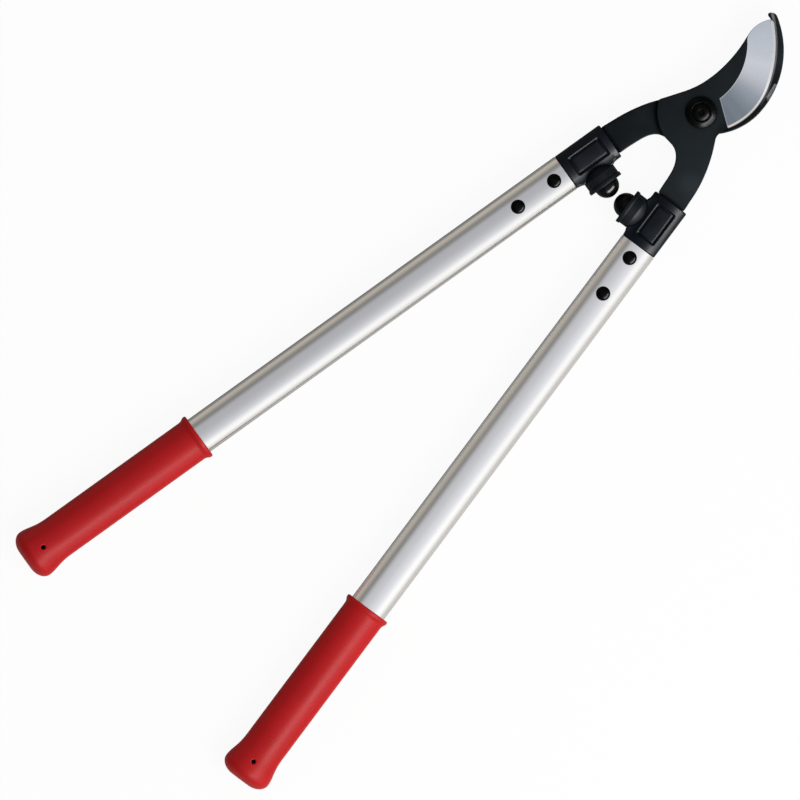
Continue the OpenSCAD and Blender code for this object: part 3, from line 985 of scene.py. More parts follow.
# ---------------------------------------------------------------- materials
def mat_coat(name, lift, rubbed):
    """Satin black coating: faint mottling, fine texture, rubbed thin along the edges; painted
    light makes it lighter towards +x with a painted sheen below the pivot, and painted shade
    darkens its corners.
    """
    mat = Mat(name)
    x, y, _ = mat.xyz()
    broad = mat.noise(scale=55.0, detail=3.0, rough=0.55)
    fine = mat.noise(scale=900.0, detail=3.0, rough=0.6)
    speck = mat.noise(scale=3200.0)
    dark = tuple(v + lift for v in (0.0044, 0.0086, 0.0116))
    light = tuple(v + lift for v in (0.0066, 0.0124, 0.0162))
    color = mat.vary(broad, dark, light, frm=(0.35, 0.68))
    color = mat.vary(fine, color, (0.012, 0.0175, 0.021), frm=(0.55, 0.8), to=(0, 0.35))
    patchy = mat.remap(mat.noise(scale=260.0, detail=3.0, rough=0.65),
                       frm=(0.42, 0.66), to=(0, 0.40))
    color = mat.mix(mat.times(mat.rim(frm=(0.45, 1.0)), patchy), color, (0.030, 0.033, 0.037))
    # painted light: lighter towards the lit +x side and a painted sheen round one spot below the
    # pivot; darker on a band towards +x, +y
    painted_light_tone = mat.remap(x, frm=(-0.036, 0.036), to=(0.60, 1.32))
    painted_sheen_spot = mat.length(*mat.offset(x, y, (30.0, -40.0)))
    painted_light_tone = mat.plus(painted_light_tone, mat.remap(painted_sheen_spot, frm=(0.001, 0.013), to=(0.55, 0.0), smooth=True))
    band = mat.times(mat.remap(x, frm=(0.012, 0.021), smooth=True),
                     mat.remap(y, frm=(-0.012, 0.004), to=(0, 0.58), smooth=True))
    painted_light_tone = mat.times(painted_light_tone, mat.minus(1.0, band))
    if rubbed:
        # a strip along the blade's outer edge arc, rubbed grey
        out = mat.past_edge(x, y, EDGE[1])
        rub = mat.times(mat.remap(out, frm=(0.0004, 0.0015), to=(1.0, 0.0), smooth=True),
                        mat.remap(y, frm=(0.030, 0.042), smooth=True))
        rub = mat.times(rub, mat.remap(out, frm=(-0.0012, -0.0005), smooth=True))
        color = mat.mix(mat.times(rub, mat.remap(fine, to=(0.75, 1.0))), color,
                        (0.30, 0.305, 0.315))
    # painted shade: the colour and reflection darken in corners and beside the raised blade
    shade = mat.times(painted_light_tone, mat.painted_nook_shade(reach=0.0036, frm=(0.50, 0.94), floor=0.04))
    rough = mat.plus(mat.remap(broad, to=(0.40, 0.50)), mat.remap(fine, to=(-0.03, 0.05)))
    normal = mat.bump(fine, depth=0.00004, strength=0.55)
    normal = mat.bump(speck, depth=0.000018, strength=0.6, normal=normal)
    # a matt coating keeps dark when it is seen edge on
    graze = mat.remap(mat.node("LayerWeight").outputs["Facing"],
                      frm=(0.38, 0.72), to=(1.0, 0.06), smooth=True)
    return mat.finish(mat.dim(color, shade), rough, metal=0.0, normal=normal,
                      Specular_IOR_Level=mat.times(mat.times(shade, graze), 0.115))


def mat_patch():
    """Bare spot where the coating has been ground through."""
    mat = Mat("ground_patch")
    streaks = mat.noise(scale=900.0, vector=mat.scaled((1, 0.12, 1)))
    color = mat.vary(streaks, (0.078, 0.078, 0.085), (0.122, 0.122, 0.130))
    return mat.finish(color, mat.remap(streaks, to=(0.42, 0.55)), metal=0.15,
                      normal=mat.bump(streaks, depth=0.00003, strength=0.5),
                      Specular_IOR_Level=0.25)


# painted reflection: ground steel's colour from the heel (0) to the tip (1), dark at the heel and
# bright towards the tip
GROUND_PAINTED_REFLECTION = [
    (0.0, (0.195, 0.235, 0.27)), (0.114, (0.20, 0.242, 0.279)), (0.22, (0.241, 0.288, 0.323)),
    (0.277, (0.294, 0.340, 0.376)), (0.33, (0.355, 0.396, 0.445)),
    (0.394, (0.445, 0.485, 0.535)), (0.48, (0.66, 0.683, 0.72)), (0.56, (0.79, 0.82, 0.86)),
    (0.665, (0.885, 0.92, 0.965)), (0.738, (0.83, 0.865, 0.91)), (0.928, (0.77, 0.83, 0.885)),
    (1.0, (0.74, 0.80, 0.86))]


def mat_ground():
    """Hollow ground steel: fine lines that fan out from the grind arc's centre, with a painted
    reflection from heel to tip and painted highlights along the grind arc and heel step.
    """
    mat = Mat("ground_steel")
    x, y, _ = mat.xyz()
    dx, dy = mat.offset(x, y, GRIND_C)
    angle = mat.calc("ARCTAN2", dy, dx)
    radius = mat.length(dx, dy)
    fan = mat.combine(angle, radius)
    lines = mat.noise(scale=1.0, detail=3.0, rough=0.6,
                      vector=mat.scaled((420.0, 60.0, 1.0), fan))
    fine = mat.noise(scale=1.0, rough=0.6, vector=mat.scaled((1500.0, 140.0, 1.0), fan))
    bands = mat.noise(scale=1.0, detail=1.0, rough=0.4,
                      vector=mat.scaled((9.0, 8.0, 1.0), fan))
    color = mat.ramp(mat.remap(angle, frm=(-0.30, 0.98)), GROUND_PAINTED_REFLECTION)
    color = mat.vary(bands, color, (0.93, 0.94, 0.96), to=(0.0, 0.05))
    color = mat.vary(lines, color, (0.30, 0.31, 0.33), frm=(0.35, 0.7), to=(0.0, 0.045))
    # painted highlight: brighter along the grind arc and at the foot of the heel step
    arc_from = (GRIND_R / 1000.0 + 0.00012, GRIND_R / 1000.0 + 0.00075)
    arc = mat.remap(radius, frm=arc_from, to=(0.55, 0.0), smooth=True)
    dx, dy = mat.offset(x, y, HEEL)
    above = mat.plus(mat.times(dx, float(HEEL_OUT[0])), mat.times(dy, float(HEEL_OUT[1])))
    step_from = ((HEEL_STEP_W + 0.15) / 1000.0, (HEEL_STEP_W + 0.75) / 1000.0)
    step = mat.remap(above, frm=step_from, to=(0.30, 0.0), smooth=True)
    color = mat.mix(mat.calc("MAXIMUM", arc, step), color, (0.90, 0.915, 0.95))
    # painted shade: the rounded rim of the ground face darker
    color = mat.mix(mat.rim(frm=(0.25, 0.9), to=(0.0, 0.6)), color, (0.22, 0.24, 0.27))
    rough = mat.plus(mat.remap(lines, to=(0.25, 0.31)), mat.remap(fine, to=(-0.02, 0.02)))
    normal = mat.bump(lines, depth=0.000012, strength=0.2)
    normal = mat.bump(fine, depth=0.000008, strength=0.3, normal=normal)
    return mat.finish(color, rough, metal=1.0, normal=normal)


def mat_honed():
    """The honed edge: finer, with a painted reflection that is warm near the heel and bright
    towards the tip.
    """
    mat = Mat("honed_edge")
    grain = mat.noise(scale=1.0, vector=mat.scaled((3000.0, 700.0, 700.0)))
    x, y, _ = mat.xyz()
    upper = mat.remap(y, frm=(0.030, 0.046), smooth=True)
    heel = mat.mix(grain, (0.53, 0.505, 0.465), (0.59, 0.565, 0.53))
    tip = mat.mix(grain, (0.93, 0.95, 0.98), (0.98, 0.99, 1.0))
    color = mat.mix(mat.remap(y, frm=(0.022, 0.044), smooth=True), heel, tip)
    # painted shade: the last few tenths towards the edge, and the rounded rim, are dark
    out = mat.past_edge(x, y, EDGE[0])
    last = mat.times(mat.remap(out, frm=(-0.0006, -0.0002), to=(0.0, 0.78), smooth=True),
                     mat.remap(y, frm=(0.038, 0.047), to=(1.0, 0.0), smooth=True))
    dark = mat.calc("MAXIMUM", last, mat.rim(frm=(0.05, 0.7), to=(0.0, 0.85)))
    color = mat.mix(dark, color, (0.05, 0.05, 0.052))
    return mat.finish(color, mat.remap(grain, to=(0.24, 0.32)),
                      metal=mat.minus(1.0, mat.times(upper, 0.6)),
                      normal=mat.bump(grain, depth=0.000008, strength=0.3))


def mat_bolt():
    mat = Mat("bolt_black")
    broad = mat.noise(scale=700.0, detail=3.0, rough=0.6)
    fine = mat.noise(scale=3500.0)
    # painted shade: darker colour and reflection in the head's grooves and corners
    painted_nook_shade = mat.painted_nook_shade(reach=0.0016, frm=(0.40, 0.90), floor=0.1)
    color = mat.vary(broad, (0.0014, 0.0015, 0.0018), (0.0030, 0.0032, 0.0036),
                     frm=(0.35, 0.7))
    worn = mat.times(mat.ridges(frm=(0.515, 0.60)),
                     mat.remap(broad, frm=(0.35, 0.65), to=(0.05, 0.3)))
    color = mat.mix(worn, color, (0.020, 0.021, 0.023))
    normal = mat.bump(broad, depth=0.00004, strength=0.3)
    normal = mat.bump(fine, depth=0.000012, strength=0.5, normal=normal)
    return mat.finish(mat.dim(color, painted_nook_shade), mat.remap(broad, to=(0.27, 0.36)), metal=0.0,
                      normal=normal, Specular_IOR_Level=mat.times(painted_nook_shade, 0.055))


def mat_nylon(name, dark, light, rough_range, grain=1.0, specular=0.12):
    """Moulded nylon: eroded grain, soft polish on the raised edges, painted shade in the hollows.
    """
    mat = Mat(name)
    broad = mat.noise(scale=90.0, detail=3.0)
    cell = mat.voronoi(scale=1500.0)
    fine = mat.noise(scale=2600.0, detail=3.0, rough=0.6)
    color = mat.vary(broad, dark, light, frm=(0.35, 0.68))
    polish = mat.times(mat.ridges(frm=(0.51, 0.57)),
                       mat.remap(mat.noise(scale=300.0), to=(0.5, 1.0)))
    color = mat.mix(mat.times(polish, 0.35), color, (0.018, 0.020, 0.023))
    # painted shade: darker colour and reflection in the grooves and recesses
    painted_nook_shade = mat.painted_nook_shade(reach=0.0011, frm=(0.35, 0.85), floor=0.12)
    rough = mat.minus(mat.remap(broad, to=rough_range), mat.times(polish, 0.10))
    normal = mat.bump(cell, depth=0.00005 * grain, strength=0.35)
    normal = mat.bump(fine, depth=0.00003 * grain, strength=0.5, normal=normal)
    return mat.finish(mat.dim(color, painted_nook_shade), rough, metal=0.0, normal=normal,
                      Specular_IOR_Level=mat.times(painted_nook_shade, specular))


def mat_collar(name, specular):
    return mat_nylon(name, (0.0034, 0.0058, 0.0102), (0.0052, 0.0086, 0.0142),
                     rough_range=(0.38, 0.47), specular=specular)


def mat_rubber():
    mat = Mat("buffer_rubber")
    broad = mat.noise(scale=220.0, detail=3.0)
    fine = mat.noise(scale=2400.0)
    color = mat.mix(broad, (0.0012, 0.0012, 0.0014), (0.0026, 0.0027, 0.0030))
    return mat.finish(color, mat.remap(broad, to=(0.17, 0.24)), metal=0.0,
                      normal=mat.bump(fine, depth=0.00001, strength=0.4),
                      Specular_IOR_Level=0.11)


def mat_rivet():
    mat = Mat("rivet_black")
    broad = mat.noise(scale=500.0, detail=3.0, rough=0.6)
    fine = mat.noise(scale=4000.0)
    color = mat.mix(broad, (0.0012, 0.0013, 0.0016), (0.0030, 0.0031, 0.0036))
    color = mat.mix(mat.times(mat.ridges(frm=(0.52, 0.62)), 0.2), color, (0.02, 0.02, 0.022))
    return mat.finish(color, mat.remap(broad, to=(0.20, 0.28)), metal=0.0,
                      normal=mat.bump(fine, depth=0.000012, strength=0.5),
                      Specular_IOR_Level=0.05)


def mat_tube(name, turn, painted_light_tone):
    """Satin anodised aluminium with faint lengthwise die lines; its colour is scaled as painted
    light.
    """
    mat = Mat(name, turn)
    die = mat.noise(scale=1.0, detail=4.0, rough=0.6,
                    vector=mat.scaled((2600.0, 2.2, 2600.0)))
    wide = mat.noise(scale=1.0, vector=mat.scaled((520.0, 0.9, 520.0)))
    haze = mat.noise(scale=14.0, detail=3.0)
    grit = mat.noise(scale=5200.0)

    def toned(*color):
        return tuple(min(1.0, v * painted_light_tone) for v in color)
    color = mat.vary(die, toned(0.885, 0.885, 0.893), toned(0.945, 0.945, 0.950))
    color = mat.vary(haze, color, toned(0.86, 0.858, 0.86), frm=(0.35, 0.7), to=(0, 0.25))
    rough = mat.plus(mat.remap(die, to=(0.185, 0.235)), mat.remap(haze, to=(-0.012, 0.018)))
    normal = mat.bump(wide, depth=0.000010, strength=0.25)
    normal = mat.bump(die, depth=0.0000045, strength=0.35, normal=normal)
    normal = mat.bump(grit, depth=0.000002, strength=0.3, normal=normal)
    return mat.finish(color, rough, metal=1.0, normal=normal)


def mat_grip():
    """Soft dipped vinyl with a little depth and faint orange peel; painted shade in its hollows.
    """
    mat = Mat("grip_red")
    broad = mat.noise(scale=24.0, detail=3.0)
    peel = mat.noise(scale=420.0, rough=0.45)
    fine = mat.noise(scale=2600.0)
    color = mat.vary(broad, (0.535, 0.0048, 0.0070), (0.595, 0.0066, 0.0088),
                     frm=(0.35, 0.66))
    color = mat.vary(fine, color, (0.40, 0.003, 0.005), frm=(0.58, 0.78), to=(0, 0.12))
    # painted shade: darker in corners and hollows
    painted_nook_shade = mat.painted_nook_shade(reach=0.0042, frm=(0.25, 0.75), floor=0.05)
    rough = mat.plus(mat.remap(broad, to=(0.34, 0.42)), mat.remap(fine, to=(-0.03, 0.04)))
    normal = mat.bump(peel, depth=0.00007, strength=0.2)
    normal = mat.bump(fine, depth=0.000016, strength=0.45, normal=normal)
    return mat.finish(mat.dim(color, painted_nook_shade), rough, metal=0.0, normal=normal,
                      Specular_IOR_Level=0.26, Subsurface_Weight=0.04,
                      Subsurface_Scale=0.002, Subsurface_Radius=(1.0, 0.12, 0.08))


def mat_zinc():
    mat = Mat("fastener_zinc")
    broad = mat.noise(scale=400.0, detail=3.0, rough=0.6)
    color = mat.vary(mat.voronoi(scale=900.0), (0.55, 0.56, 0.58), (0.72, 0.73, 0.74),
                     frm=(0.0, 0.8))
    return mat.finish(color, mat.remap(broad, to=(0.28, 0.42)), metal=1.0,
                      normal=mat.bump(broad, depth=0.00002, strength=0.4))


def mat_plug():
    mat = Mat("plug_plastic")
    broad = mat.noise(scale=120.0, detail=3.0)
    fine = mat.noise(scale=2200.0)
    color = mat.mix(broad, (0.020, 0.021, 0.022), (0.034, 0.035, 0.037))
    return mat.finish(color, mat.remap(broad, to=(0.45, 0.58)), metal=0.0,
                      normal=mat.bump(fine, depth=0.00002, strength=0.5))


# ---------------------------------------------------------------- blade and hook
coat = mat_coat("coat_black", lift=0.0, rubbed=True)
coat_blade = mat_coat("coat_black_blade", lift=0.0070, rubbed=False)
patch_steel, ground_steel, honed_steel = mat_patch(), mat_ground(), mat_honed()

verts, faces, extras = build_blade()
make("cutting_blade_look", verts, faces, "blade_side", "blade_steel",
     [coat_blade, ground_steel, honed_steel], "cutting_blade", sharp_angle=38, **extras)

# corners (x, y) of the bare patch sunk into the hook's top
PATCH = np.array([[21.2, 50], [24.6, 51.5], [29.4, 42], [26.2, 38.3], [23.9, 39.6]])
PATCH_DEPTH, PATCH_BANK = 0.45, 0.5


def patch_sdf(points):
    return poly_sdf(points[:, 0], points[:, 1], PATCH)


def hook_height(points):
    depth = -patch_sdf(points)
    return np.where(depth > 0, HOOK_TOP - PATCH_DEPTH * np.clip(depth / PATCH_BANK, 0, 1),
                    HOOK_TOP + CLEAR)


loops = plane_loops("hook_blade", HOOK_BOT)
verts, faces, extras = plate(
    loops[0], [loop for loop in loops[1:] if len(loop) > 3], HOOK_TOP, HOOK_BOT,
    r_top=0.8, r_bot=0.6, height=hook_height,
    zone=lambda points: (patch_sdf(points) < -0.02).astype(int),
    creases=[np.vstack([PATCH, PATCH[:1]])], fine=lambda points: patch_sdf(points) < 1.0)
make("hook_blade_look", verts, faces, "hook_side", "hook_black",
     [coat, patch_steel, honed_steel], "hook_blade", sharp_angle=38, **extras)


# ---------------------------------------------------------------- pivot bolt
def build_bolt():
    foot, top = bolt_low[2], bolt_high[2]
    head_r = (bolt_high[0] - bolt_low[0]) / 2
    seat = BLADE_TOP + 0.05                     # underside of the head
    dome = [(head_r - (head_r - 6.95) * t,
             seat + 0.9 + (top - seat - 1.5) * (1 - (1 - t) ** 1.3))
            for t in np.linspace(0, 1, 15)[1:]]
    crown = [(5.6 - 3.1 * t, top - 1.1 + 1.1 * math.sin(math.pi / 2 * t))
             for t in np.linspace(0, 1, 10)[1:]]
    # shank, then the head: skirt, dome, ring groove, crown and the dimple in its middle
    rows = [(0, foot), (3.4, foot, 0.2), (3.95, foot + 0.5), (3.95, HOOK_BOT - 0.5),
            (4.2, HOOK_BOT), (4.2, HOOK_TOP), (5.8, HOOK_TOP), (5.8, seat, 0.15),
            (head_r - 0.35, seat, 0.25), (head_r, seat + 0.35), (head_r, seat + 0.9)]
    rows += dome
    rows += [(6.6, top - 0.66, 0.2), (6.45, top - 1.6, 0.22), (6.05, top - 1.6, 0.22),
             (5.9, top - 1.22, 0.2)]
    rows += crown
    rows += [(2.2, top - 0.12, 0.1), (2.05, top - 0.35, 0.1), (2.0, top - 1.2, 0.2),
             (0, top - 1.25)]
    verts, faces = lathe(round_path(rows, 4), 160)
    verts[:, :2] += PIVOT[:2]
    return verts, faces


make("pivot_bolt_look", *build_bolt(), "hook_side", "fastener_black", [mat_bolt()],
     "pivot_bolt", sharp_angle=40)

# ---------------------------------------------------------------- collars
SPIGOT_END = TUBE_FRONT + 9.0
# saddle under the buffer cup, in the handle frame (x, y)
SADDLE = [[6, -62], [12.2, -62.4], [12.9, -64.6], [14.4, -66.4],
          [14.4, -91.3], [13.1, -93.4], [12.3, -96], [6, -96]]
SADDLE_HALF_H = 5.7
PAD_Y = -77.3                                   # middle of the sunk pad
LIP_HALF, PAD_HALF = 13.3, 11.3                 # half lengths of the recess and the pad in it
SLOT_X = (-8.06, 6.36)                          # slot for the blade's or the hook's tang
CUP_SEAT_C, CUP_SEAT_R = 22.3, 14.45            # ball that hollows the cup's seat
CUP_BORE_R = 12.25


def collar_sdf(z_low, z_high, lip, pad):
    """Collar with a slot from z_low to z_high; lip and pad are x spans of recess and pad."""
    def sdf(x, y, z):
        station = -y
        oval = oval_sdf(x, z)
        body = round_and(oval + 0.12, slab(station, COLLAR_FRONT, TUBE_FRONT - 0.02),
                         fillet=1.15)
        saddle = round_and(poly_sdf(x, y, SADDLE), np.abs(z) - SADDLE_HALF_H, fillet=1.1)
        body = round_or(body, saddle, fillet=1.3)
        spigot = round_and(oval + 1.62, slab(station, TUBE_FRONT - 3, SPIGOT_END), fillet=0.4)
        body = np.minimum(body, spigot)
        # sunk pad with a groove round it, above and below; the floors follow the oval
        outer = rounded_box(x, y, lip, PAD_Y, LIP_HALF, corner=1.7)
        inner = rounded_box(x, y, pad, PAD_Y, PAD_HALF, corner=1.0)
        depth = np.maximum(-oval - 0.12, 0.0)
        drop = SIDE_R - np.sqrt(SIDE_R ** 2 - np.clip(x, -9, 9) ** 2)
        walls = (outer + 0.84 * depth) * 0.77
        floor = (TUBE_H / 2 - 1.17 - 0.5 * drop - np.abs(z)) * 0.97
        off_middle = -np.abs(z) + 3.0
        sunk = round_and(walls, floor, fillet=0.25)
        groove = round_and(walls, -inner - 0.25 * depth, fillet=0.12)
        groove = round_and(groove, -(oval + 1.85), fillet=0.35)
        groove = round_and(groove, off_middle, fillet=0.2)
        body = round_cut(body, round_and(sunk, off_middle, fillet=0.2), fillet=0.3)
        body = round_cut(body, groove, fillet=0.12)
        slot = round_and(slab(x, *SLOT_X), slab(z, z_low - 0.06, z_high + 0.06), fillet=0.3)
        body = round_cut(body, slot, fillet=0.3)
        from_axis = np.hypot(y + CUP_AT, z)
        ball = np.sqrt((x - CUP_SEAT_C) ** 2 + from_axis ** 2) - CUP_SEAT_R
        cup = np.maximum(np.maximum(from_axis - CUP_BORE_R, ball), 4 - x)
        return round_cut(body, cup, fillet=0.3)
    return sdf


collar_mats = {"left": mat_collar("collar_nylon", specular=0.12),
               "right": mat_collar("collar_nylon_right", specular=0.085)}
# side, slot bottom and top, x span of the recess, x span of the pad
for side, slot_low, slot_high, lip, pad in (
        ("left", HOOK_BOT, HOOK_TOP, (-7.4, 7.6), (-5.3, 5.3)),
        ("right", BLADE_BOT, BLADE_TOP, (-8.3, 7.0), (-6.0, 5.0))):
    verts, faces = surface_nets(collar_sdf(slot_low - SLIDE_Z, slot_high - SLIDE_Z, lip, pad),
                                (-15.2, -(SPIGOT_END + 1.2), -10.4),
                                (16.4, -(COLLAR_FRONT - 1.2), 10.4),
                                0.36)
    make_side(side, "collar", verts, faces, "collar_nylon", collar_mats[side])


# ---------------------------------------------------------------- buffer cups and buffers
def build_cup():
    """Ball-backed cup turned about the handle's x axis."""
    back_r, body_r = 14.3, CUP_R - 0.75
    bore_r, floor_x, pin_r, pin_x = BUFFER_R + 0.06, 15.2, 3.06, 9.6
    rows = [(0, 8.0)]
    rows += [(back_r * math.sin(angle), CUP_FACE - 0.9 - back_r * math.cos(angle))
             for angle in np.linspace(0.12, math.asin(body_r / back_r), 12)]
    rows[-1] += (1.4,)
    rows += [(body_r, CUP_FACE - 3.3, 0.6), (body_r + 0.1, CUP_FACE - 2.9, 0.3),
             (CUP_R, CUP_FACE - 2.35, 0.35), (CUP_R, CUP_FACE, 0.55),
             (bore_r, CUP_FACE, 0.45), (bore_r, floor_x, 0.5),
             (pin_r, floor_x, 0.2), (pin_r, pin_x, 0.3), (0, pin_x)]
    verts, faces = lathe(round_path(rows, 5), 144, "x")
    verts[:, 1] -= CUP_AT
    return verts, faces


def build_buffer():
    """Rubber stud with a domed head."""
    stud_r, head_x = 3.0, BUFFER_BACK + 5.6
    dome = [(BUFFER_R * math.cos(angle), BUFFER_C + BUFFER_R * math.sin(angle))
            for angle in np.linspace(0, math.pi / 2, 26)]
    dome[-1] = (0.0, BUFFER_C + BUFFER_R)
    rows = [(0, BUFFER_BACK), (stud_r, BUFFER_BACK, 0.3), (stud_r, head_x, 0.4),
            (BUFFER_R, head_x, 0.5)] + dome
    verts, faces = lathe(round_path(rows, 4), 128, "x")
    verts[:, 1] -= CUP_AT
    return verts, faces


cup_nylon = mat_nylon("cup_nylon", (0.0060, 0.0092, 0.0118), (0.0084, 0.0128, 0.0160),
                      rough_range=(0.42, 0.52), grain=0.8, specular=0.09)
make_pair("buffer_cup", *build_cup(), "cup_nylon", cup_nylon, sharp_angle=42)
rubber = mat_rubber()
for side in BODIES:
    make_side(side, "buffer", *build_buffer(), "buffer_rubber", rubber,
              body=f"{side}_buffer", sharp_angle=42)


# ---------------------------------------------------------------- tubes
def build_tube():
    """Hollow oval tube with a small chamfer on both ends."""
    wall, chamfer = 1.5, 0.12
    # rings: outside, outer chamfer, inner chamfer, inside
    rings = [oval_ring(224, grow) for grow in (0, -chamfer, -wall + chamfer, -wall)]
    # path round the wall's section: ring, station
    path = [(0, TUBE_FRONT + chamfer), (1, TUBE_FRONT), (2, TUBE_FRONT),
            (3, TUBE_FRONT + chamfer)]
    path += [(3, at) for at in np.linspace(TUBE_FRONT + 4, TUBE_END - 4, 14)]
    path += [(3, TUBE_END - chamfer), (2, TUBE_END), (1, TUBE_END), (0, TUBE_END - chamfer)]
    path += [(0, at) for at in np.linspace(TUBE_END - 4, TUBE_FRONT + 4, 40)]
    verts = [(x, -at, z) for ring, at in path for x, z in rings[ring]]
    count, faces = len(rings[0]), []
    for i in range(len(path)):
        a, b = i * count, ((i + 1) % len(path)) * count
        for j in range(count):
            k = (j + 1) % count
            faces.append((a + j, a + k, b + k, b + j))
    return verts, faces


# painted light: the left tube's colour is darker and the right one's lighter, for the different
# light on the two tubes
tube_mats = {"left": mat_tube("tube_aluminium_left", LEAN, painted_light_tone=0.82),
             "right": mat_tube("tube_aluminium_right", -LEAN, painted_light_tone=1.055)}
for side in BODIES:
    make_side(side, "tube", *build_tube(), "tube_aluminium", tube_mats[side], sharp_angle=42)

# ---------------------------------------------------------------- rivets
RIVET_TAIL_R, RIVET_SHANK_R = 4.7, 2.97


def rivet_dome(radius, height, sink, start, count):
    """Quarter of an ellipse from sink below the tube's top up to height on the axis."""
    foot = TUBE_H / 2 - sink
    points = [(radius * math.cos(angle), foot + (height - foot) * math.sin(angle))
              for angle in np.linspace(start, math.pi / 2, count)]
    points[-1] = (0.0, height)
    return points


def build_rivets():
    """Domed heads above the tube and flatter tails below it."""
    tube_z = TUBE_H / 2
    skirt = tube_z - 0.9
    head = rivet_dome(RIVET_R, RIVET_TOP, sink=0.35, start=0.16, count=16)
    tail = rivet_dome(RIVET_TAIL_R, -RIVET_TAIL, sink=0.3, start=0.2, count=10)
    rows = [(radius, -height) for radius, height in tail[::-1]]
    rows += [(RIVET_TAIL_R, -(tube_z - 0.2), 0.15), (RIVET_TAIL_R, -skirt),
             (RIVET_SHANK_R, -skirt), (RIVET_SHANK_R, skirt),
             (RIVET_R, skirt), (RIVET_R, tube_z - 0.2, 0.2)]
    one, one_faces = lathe(round_path(rows + head, 4), 96)
    # bring the skirts of head and tail on to the tube's curved face
    x, y, z = one.T
    low = (np.abs(np.abs(z) - skirt) < 1e-6) & (np.hypot(x, y) > RIVET_SHANK_R + 0.2)
    across = np.minimum(np.abs(x[low]), END_X + 3)
    face_z = np.sqrt(SIDE_R ** 2 - across ** 2) - SIDE_Z
    one[low, 2] = np.sign(z[low]) * (face_z + 0.02)
    verts, faces = [], []
    for i, station in enumerate(RIVETS_AT):
        verts.append(one - np.array([0.0, station, 0.0]))
        faces += [tuple(k + i * len(one) for k in face) for face in one_faces]
    return np.vstack(verts), faces


make_pair("rivets", *build_rivets(), "fastener_black", mat_rivet(), sharp_angle=45)

# ---------------------------------------------------------------- grips
GRIP_SKIN = 1.65
FLARE_AT = GRIP_END - 8.2
FLARE = grip_high[0] - TUBE_W / 2 - GRIP_SKIN
# the bead round the front: distance from the front, height above the tube
skin = [(GRIP_FRONT + ahead, GRIP_SKIN + rise) for ahead, rise in (
    (0, 0.9), (0.35, 1.42), (0.9, 1.6), (2.0, 1.58), (2.9, 1.25), (3.9, 0.62), (5.0, 0.16),
    (6.8, 0))]
# the swell towards the butt and the rounded end
skin += [(FLARE_AT - 21 + 21 * t, GRIP_SKIN + FLARE * (1 - math.cos(math.pi * t ** 1.35)) / 2)
         for t in np.linspace(0, 1, 22)]
skin += [(FLARE_AT + 8.2 * math.sin(angle), GRIP_SKIN + FLARE - 11 * (1 - math.cos(angle)))
         for angle in np.linspace(0, math.pi / 2, 18)[1:]]
# section of the grip: distance from the oval, station
SKIN_POLY = [(rise, at) for at, rise in skin] + [(-9.6, GRIP_END), (-9.6, GRIP_FRONT)]


def grip_sdf(x, y, z):
    station = -y
    oval = oval_sdf(x, z)
    body = poly_sdf(oval, station, SKIN_POLY)
    bore = round_and(oval - 0.05, slab(station, GRIP_FRONT - 4, TUBE_END + 2.7), fillet=0.3)
    body = round_cut(body, bore, fillet=0.35)
    hole = round_and(np.hypot(x, station - HOLE_AT) - HOLE_R, 2.6 - z, fillet=0.3)
    return round_cut(body, hole, fillet=0.4)


verts, faces = surface_nets(grip_sdf, (-19.5, -(GRIP_END + 1.5), -15),
                            (19.5, -(GRIP_FRONT - 1.5), 15),
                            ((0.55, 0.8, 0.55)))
make_pair("grip", verts, faces, "grip_red", mat_grip())

# ---------------------------------------------------------------- CAD nodes kept as they are
zinc, plug = mat_zinc(), mat_plug()
for node, material in (("pivot_washer", zinc), ("pivot_lock_washer", zinc),
                       ("pivot_nut", zinc), ("left_tube_plug", plug),
                       ("right_tube_plug", plug)):
    obj = frame["nodes"][node]
    if not obj.material_slots:
        obj.data.materials.append(material)
    for slot in obj.material_slots:
        slot.material = material

# ---------------------------------------------------------------- world
# what reflections see, by angle in degrees from straight up (+ is towards +x, the lit side)
GLOSSY_SKY = [
    (-180, (0.30, 0.29, 0.26)), (-100, (0.44, 0.412, 0.357)), (-82, (0.54, 0.492, 0.42)),
    (-70, (0.54, 0.492, 0.42)), (-62, (0.41, 0.382, 0.332)), (-54, (0.25, 0.243, 0.225)),
    (-45, (0.23, 0.23, 0.23)), (-40, (0.39, 0.39, 0.398)), (-30, (0.55, 0.553, 0.576)),
    (-12, (0.565, 0.568, 0.595)), (3, (0.62, 0.624, 0.656)), (16, (0.70, 0.703, 0.74)),
    (30, (0.81, 0.815, 0.846)), (38, (0.92, 0.925, 0.945)), (46, (1.11, 1.115, 1.12)),
    (60, (1.22, 1.21, 1.185)), (68, (1.06, 1.04, 1.00)), (75, (0.84, 0.815, 0.775)),
    (86, (0.62, 0.595, 0.56)), (180, (0.54, 0.52, 0.49))]
# what diffuse surfaces see, likewise
SOFT_SKY = [
    (-180, (0.22, 0.22, 0.22)), (-90, (0.25, 0.25, 0.25)), (-40, (0.255, 0.255, 0.255)),
    (10, (0.41, 0.41, 0.41)), (45, (0.72, 0.717, 0.71)), (80, (0.68, 0.672, 0.664)),
    (180, (0.38, 0.38, 0.38))]
CAMERA_SKY = (0.985, 0.985, 0.985)


